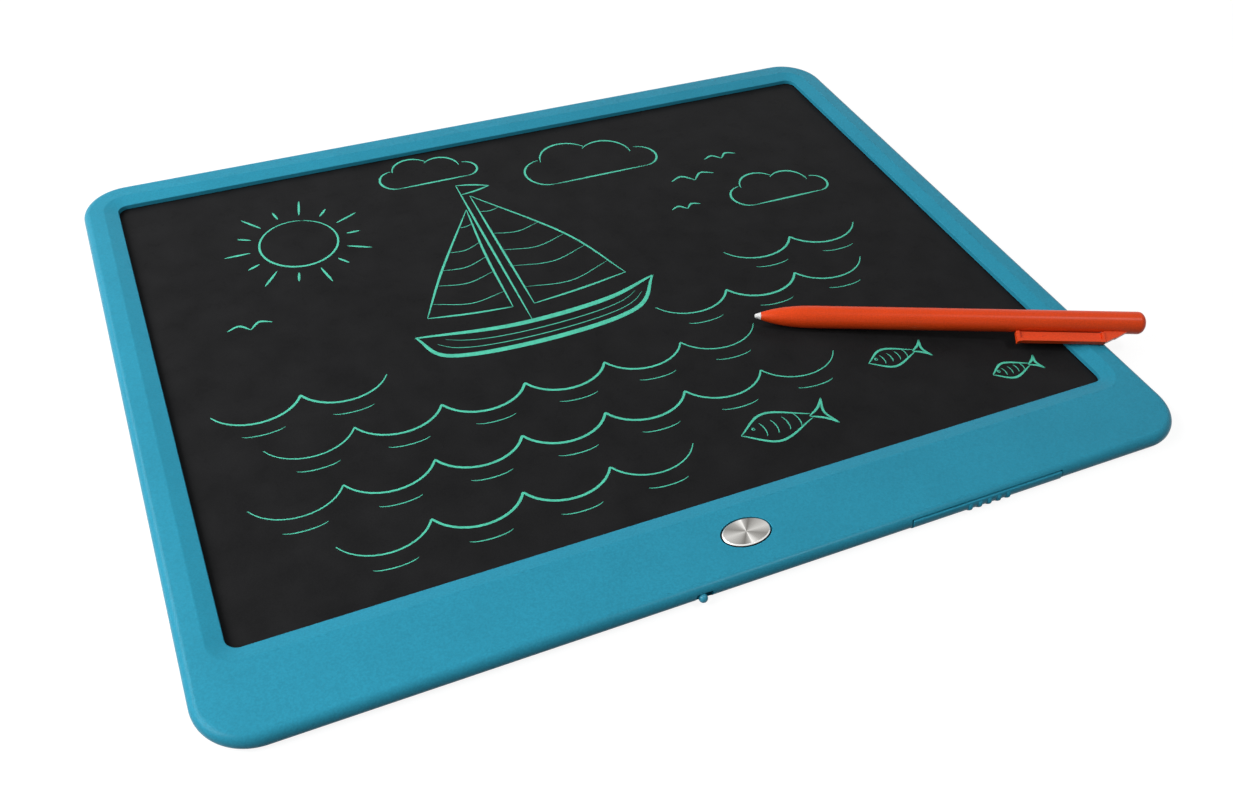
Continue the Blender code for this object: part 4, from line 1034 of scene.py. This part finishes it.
def clip_outline():
    """Outline of the clip along the barrel and out from its axis: a bar that ends in a stepped foot."""
    inner = STYLUS_RADIUS + CLIP_SLIT
    step_x = BAR_END + CLIP_FOOT * CLIP_STEP_SHARE
    step_out = CLIP_REACH - (CLIP_REACH - STYLUS_RADIUS) * CLIP_RISE_SHARE
    return rounded_path([
        (BAR_START, inner, 0),
        (BAR_END, inner, 0),
        (BAR_END, CLIP_ROOT, 0),
        (CLIP_END, CLIP_ROOT, 0),
        (CLIP_END, STYLUS_RADIUS, 0),
        (step_x + CLIP_SLIT, step_out, CLIP_CORNER / 4),
        (step_x, step_out, CLIP_CORNER / 4),
        (BAR_END, CLIP_REACH, CLIP_CORNER),
        (BAR_START + CLIP_NIB_LENGTH, CLIP_REACH, CLIP_CORNER),
        (BAR_START, CLIP_REACH + CLIP_NIB, 0),
    ])


def make_clip():
    """The stylus's clip, its face sunk between rims, rolled down until it is as low as the barrel."""
    half = CLIP_WIDTH / 2
    clip = solids("clip", [standing(clip_outline(), -half, half)])
    break_edges(clip, CLIP_EDGE_BREAK, CLIP_SHARP_EDGE)
    rim = CLIP_REACH - CLIP_LONG_RIM
    face = -half + CLIP_FACE_DEPTH
    face_low = (BAR_START + CLIP_END_RIM, STYLUS_RADIUS, -half - OVERRUN)
    web_low = (BAR_END, CLIP_ROOT, -half - OVERRUN)
    web_high = (STYLUS_LENGTH, CLIP_REACH, -half + CLIP_WEB_DEPTH)
    cut(clip, [block(face_low, (BAR_END - CLIP_CROSS_RIB, rim, face)), block(web_low, web_high)])
    mark_x = BAR_START + (BAR_END - BAR_START) * CLIP_MARK_SHARE
    mark_place = (mark_x, (STYLUS_RADIUS + rim) / 2)
    add(clip, [pillar(mark_place, CLIP_MARK, face - CLIP_MARK_RISE, 0)])
    roll = asin(STYLUS_RADIUS / hypot(CLIP_REACH, half)) - atan2(half, CLIP_REACH)
    clip.data.transform(Matrix.Rotation(roll - pi, 4, "X"))
    return clip


def make_barrel():
    """Stylus barrel in one with its clip, bored for the tip."""
    barrel = solids("stylus_body", [along_axis(barrel_profile())])
    combine(barrel, make_clip(), "UNION")
    bore = SPIGOT + GAP
    socket = [(TIP_LENGTH - OVERRUN, bore), (TIP_LENGTH + SPIGOT_LENGTH + GAP, bore)]
    cut(barrel, [along_axis(socket, POST_SIDES)])
    barrel.data.transform(stylus_placing())
    settle(barrel, "stylus", "stylus", "stylus_barrel")


def make_tip():
    """Stylus tip: a round point, and the spigot that is pressed into the barrel."""
    shoulder = TIP_LENGTH - TIP_SEAM
    profile = arc((TIP_END, 0), (TIP_END, TIP_END), 180, 90, DOME_STEPS)[1:]
    profile += [(shoulder, TIP_BASE), (shoulder, SPIGOT)]
    profile.append((TIP_LENGTH + SPIGOT_LENGTH, SPIGOT))
    tip = solids("stylus_point", [along_axis(profile)])
    tip.data.transform(stylus_placing())
    settle(tip, "stylus", "tip", "stylus_tip")


def on_film(across, along):
    """A place on the film, from shares of the window's width and depth."""
    low = FILM_LOW + Vector((FILM_LAP, FILM_LAP, 0))
    high = FILM_HIGH - Vector((FILM_LAP, FILM_LAP, 0))
    return Vector((low.x + (high.x - low.x) * across, low.y + (high.y - low.y) * along))


def through(places, steps=LINE_STEPS):
    """Points of one smooth line through a few places."""
    ends = [places[0] * 2 - places[1], *places, places[-1] * 2 - places[-2]]
    points = []
    for before, here, after, beyond in zip(ends, ends[1:], ends[2:], ends[3:]):
        for step in range(steps):
            t = step / steps
            bend = (before * 2 - here * 5 + after * 4 - beyond) * t ** 2
            twist = (here * 3 - before - after * 3 + beyond) * t ** 3
            points.append((here * 2 + (after - before) * t + bend + twist) / 2)
    return points + [places[-1]]


def curl(centre, reach, start, end):
    """Points of a drawn oval's arc between two angles in degrees."""
    count = max(LINE_STEPS, round(abs(end - start) / 360 * CIRCLE_SIDES))
    return [Vector(point) for point in arc(centre, reach, start, end, count)]


def curve(thing, *places):
    """Points of one smooth line of a thing, its origin and size; places are shares of the size."""
    origin, size = thing
    return through([origin + Vector(place) * size for place in places])


def line_rings(points, width):
    """Rings of one drawn line, full along its middle and thin towards its ends."""
    foot = FILM_TOP - LINE_SINK
    crest = FILM_TOP + LINE_RISE
    section = ((-1, foot), (-SHOULDER_SHARE, crest), (SHOULDER_SHARE, crest), (1, foot))
    last = len(points) - 1
    rings = []
    for index, here in enumerate(points):
        ahead = points[min(index + 1, last)] - points[max(index - 1, 0)]
        side = Vector((-ahead.y, ahead.x)).normalized()
        fullness = max(0.0, sin(pi * index / last)) ** LINE_FULLNESS
        half = width * (LINE_END_SHARE + (1 - LINE_END_SHARE) * fullness)
        rings.append([(*(here + side * half * share), height) for share, height in section])
    return rings


def sun_lines():
    """A sun: one round line and rays of two lengths."""
    centre = on_film(*SUN_PLACE)
    lines = [(curl(centre, (SUN_RADIUS, SUN_RADIUS), *SUN_LINE), MAIN_LINE)]
    for ray in range(SUN_RAYS):
        angle = 2 * pi * ray / SUN_RAYS
        toward = Vector((cos(angle), sin(angle))) * SUN_RADIUS
        end = centre + toward * SUN_RAY_ENDS[ray % 2]
        lines.append((through([centre + toward * SUN_RAY_START, end]), MAIN_LINE))
    return lines


def boat_lines():
    """A sailing boat; places in it are shares of its length from the middle of its waterline."""
    boat = (on_film(*BOAT_PLACE), BOAT_LENGTH)
    stern = (-0.5, 0.17)
    bow = (0.56, 0.21)
    mast_top = (-0.015, 1.14)
    flag_end = (0.13, 1.09)
    gunwale = curve(boat, stern, (-0.1, 0.11), (0.3, 0.13), bow)
    keel = curve(boat, stern, (-0.4, 0.02), (0.0, -0.02), (0.4, 0.03), bow)
    lines = [
        (keel, BOLD_LINE),
        (gunwale, BOLD_LINE),
        (curve(boat, (-0.025, 0.12), (-0.02, 0.7), mast_top), MAIN_LINE),
        (curve(boat, mast_top, (0.06, 1.12), flag_end), MAIN_LINE),
        (curve(boat, (-0.015, 1.06), (0.06, 1.07), flag_end), MAIN_LINE),
    ]
    for tack, luff_middle, head, leech_middle, clew in SAILS:
        luff = curve(boat, tack, luff_middle, head)
        leech = curve(boat, clew, leech_middle, head)
        foot = (luff[0] + leech[0]) / 2 - Vector((0, MAIN_LINE))
        lines += [(luff, MAIN_LINE), (leech, MAIN_LINE), (through([luff[0], foot, leech[0]]), MAIN_LINE)]
        for fold in range(1, SAIL_FOLDS):
            inner = luff[round(fold * (len(luff) - 1) / SAIL_FOLDS)]
            outer = leech[round(fold * (len(leech) - 1) / SAIL_FOLDS)]
            sag = Vector((0, -(outer - inner).length * SAIL_SAG_SHARE))
            lines.append((through([inner, inner.lerp(outer, 0.5) + sag, outer]), FINE_LINE))
    for plank in PLANK_SHARES:
        low = [keel_spot.lerp(top, plank) for keel_spot, top in zip(keel[5:-5:3], gunwale[4:-4:2])]
        lines.append((through(low, 3), FINE_LINE))
    return lines


def cloud_lines(cloud):
    """A cloud: bulges over a flat foot."""
    origin, size = cloud
    lines = []
    for over, up, radius, start, end in CLOUD_BULGES:
        middle = origin + Vector((over, up)) * size
        lines.append((curl(middle, (radius * size, radius * size), start, end), MAIN_LINE))
    lines.append((curve(cloud, *CLOUD_FOOT), MAIN_LINE))
    return lines


def bird_lines(bird):
    """A bird far off: two wings that meet."""
    return [(curve(bird, (0, 0), (side * 0.45, 0.42), (side, 0.22)), MAIN_LINE) for side in (-1, 1)]


def wave_lines(row):
    """A row of waves with peaked crests, and a short fine stroke in every trough."""
    start, crests = row
    crest_line = []
    for step in range(2 * LINE_STEPS * crests + 1):
        turn = pi * step / LINE_STEPS
        over = WAVE_PITCH * (turn - WAVE_CURL_SHARE * sin(turn)) / (2 * pi)
        crest_line.append(start + Vector((over, WAVE_HEIGHT * cos(turn) / 2)))
    lines = [(crest_line, MAIN_LINE)]
    for crest in range(crests):
        low = start + Vector((WAVE_PITCH * (crest + 0.5), -WAVE_HEIGHT))
        lines.append((curl(low, (WAVE_PITCH / 4, WAVE_HEIGHT / 4), 200, 340), FINE_LINE))
    return lines


def fish_lines(fish):
    """A fish that swims to the left; places in it are shares of its length."""
    origin, length = fish
    lines = []
    for sign in (-1, 1):
        lines.append((curve(fish, (-0.5, 0), (-0.15, sign * 0.2), (0.3, sign * 0.03)), MAIN_LINE))
        lines.append((curve(fish, (0.28, 0), (0.42, sign * 0.08), (0.52, sign * 0.19)), MAIN_LINE))
    lines.append((curve(fish, (0.52, 0.19), (0.45, 0), (0.52, -0.19)), MAIN_LINE))
    eye = origin + Vector((-0.34, 0.04)) * length
    lines.append((curl(eye, (FINE_LINE * 2, FINE_LINE * 2), 0, 350), FINE_LINE))
    for scale in range(FISH_SCALES):
        middle = origin + Vector((-0.28 + scale * 0.13, 0)) * length
        lines.append((curl(middle, (length * 0.05, length * 0.11), -60, 60), FINE_LINE))
    return lines


def make_drawing():
    """A plain line drawing of a boat at sea, in strokes that stand up a few hundredths of a millimetre."""
    lines = sun_lines() + boat_lines()
    kinds = ((cloud_lines, CLOUDS), (bird_lines, BIRDS), (wave_lines, WAVE_ROWS), (fish_lines, FISH))
    for draw, places in kinds:
        for across, along, size in places:
            lines += draw((on_film(across, along), size))
    drawing = solids("film_drawing", [line_rings(*line) for line in lines])
    settle(drawing, "housing", "film", material="line")


def make_camera():
    """The photograph's camera."""
    data = bpy.data.cameras.new("photo_camera")
    adjust(data, lens=CAMERA_LENS, sensor_width=CAMERA_SENSOR, clip_start=CAMERA_NEAREST)
    turn = [radians(angle) for angle in CAMERA_TURN]
    camera = put_in_scene("photo_camera", data, location=CAMERA_PLACE, rotation_euler=turn)
    bpy.context.scene.camera = camera


def seen_rays(tree):
    """A socket that is one for camera, glossy and transmission rays and zero for light."""
    path = add_node(tree, "LightPath", {}).outputs
    socket = path["Is Camera Ray"]
    for name in ("Is Glossy Ray", "Is Transmission Ray"):
        socket = add_node(tree, "Math", {0: socket, 1: path[name]}, operation="MAXIMUM").outputs[0]
    return socket


def make_world():
    """A white surround that gives only a soft light."""
    world = bpy.data.worlds.new("studio")
    world.use_nodes = True
    tree = world.node_tree
    inputs = {"Value": seen_rays(tree), "To Min": SKY_LIGHT, "To Max": 1.0}
    background = tree.nodes["Background"]
    feed(tree, background.inputs["Color"], (1.0, 1.0, 1.0, 1.0))
    feed(tree, background.inputs["Strength"], add_node(tree, "MapRange", inputs).outputs["Result"])
    bpy.context.scene.world = world


def floor_surface():
    """White to the eye near and far, and clear from below, so that the underside can be seen."""
    surface = Surface("pale_floor", [FLOOR_SHADE] * 3, 0.9, specular=0.0)
    distance = surface.node("VectorMath", {0: surface.place}, operation="LENGTH").outputs["Value"]
    glow = surface.spread(distance, FLOOR_GLOW, 1.0, FLOOR_GLOW_NEAR, FLOOR_GLOW_FAR)
    seen = surface.node("Math", {0: glow, 1: seen_rays(surface.tree)}, operation="MULTIPLY").outputs[0]
    surface.feed("Emission Color", (1.0, 1.0, 1.0, 1.0))
    surface.feed("Emission Strength", seen)
    below = surface.node("NewGeometry", {}).outputs["Backfacing"]
    clear = surface.node("BsdfTransparent", {}).outputs[0]
    side = surface.node("MixShader", {0: below, 1: surface.shader.outputs[0], 2: clear}).outputs[0]
    feed(surface.tree, surface.tree.nodes["Material Output"].inputs["Surface"], side)
    return surface.made


def make_floor():
    """A pale floor that keeps the shadow and is open just where the tablet's flat back lies."""
    half = FLOOR_SIZE / 2
    square = level(rounded_box((-half, -half), (half, half), OUTER_CORNER), 0)
    shape = bmesh.new()
    rings = (square, outer_ring(BOTTOM_ROUND, 0))
    edge, opening = ([shape.verts.new(point) for point in ring] for ring in rings)
    for index in range(-1, len(edge) - 1):
        shape.faces.new((edge[index], edge[index + 1], opening[index + 1], opening[index]))
    floor = finish_mesh("studio_floor", shape)
    if floor.data.polygons[0].normal.z < 0:
        floor.data.flip_normals()
    dress(floor, floor_surface())


def make_lamps():
    """Soft square lamps that face the tablet."""
    for name, (place, size, watts) in LAMPS.items():
        data = adjust(bpy.data.lights.new(name, "AREA"), size=size, energy=watts)
        turn = (-Vector(place)).to_track_quat("-Z", "Y").to_euler()
        put_in_scene(name, data, location=place, rotation_euler=turn)


def make_tablet():
    """All pieces: fine ones in place of what shows, and better materials on the rest."""
    make_bezel()
    make_cover()
    make_cap()
    make_lock()
    make_door()
    for node in SCREWS:
        make_screw(node, "housing")
    make_screw("door_screw", "battery_door")
    make_barrel()
    make_tip()
    make_drawing()
    for row in frame["record"]["subparts"]:
        dress(frame["nodes"][row["node"]], materials[row["material_slot"]])


make_camera()
make_floor()
make_world()
make_lamps()
materials = make_materials()
make_tablet()
bpy.context.scene.view_settings.view_transform = "Standard"
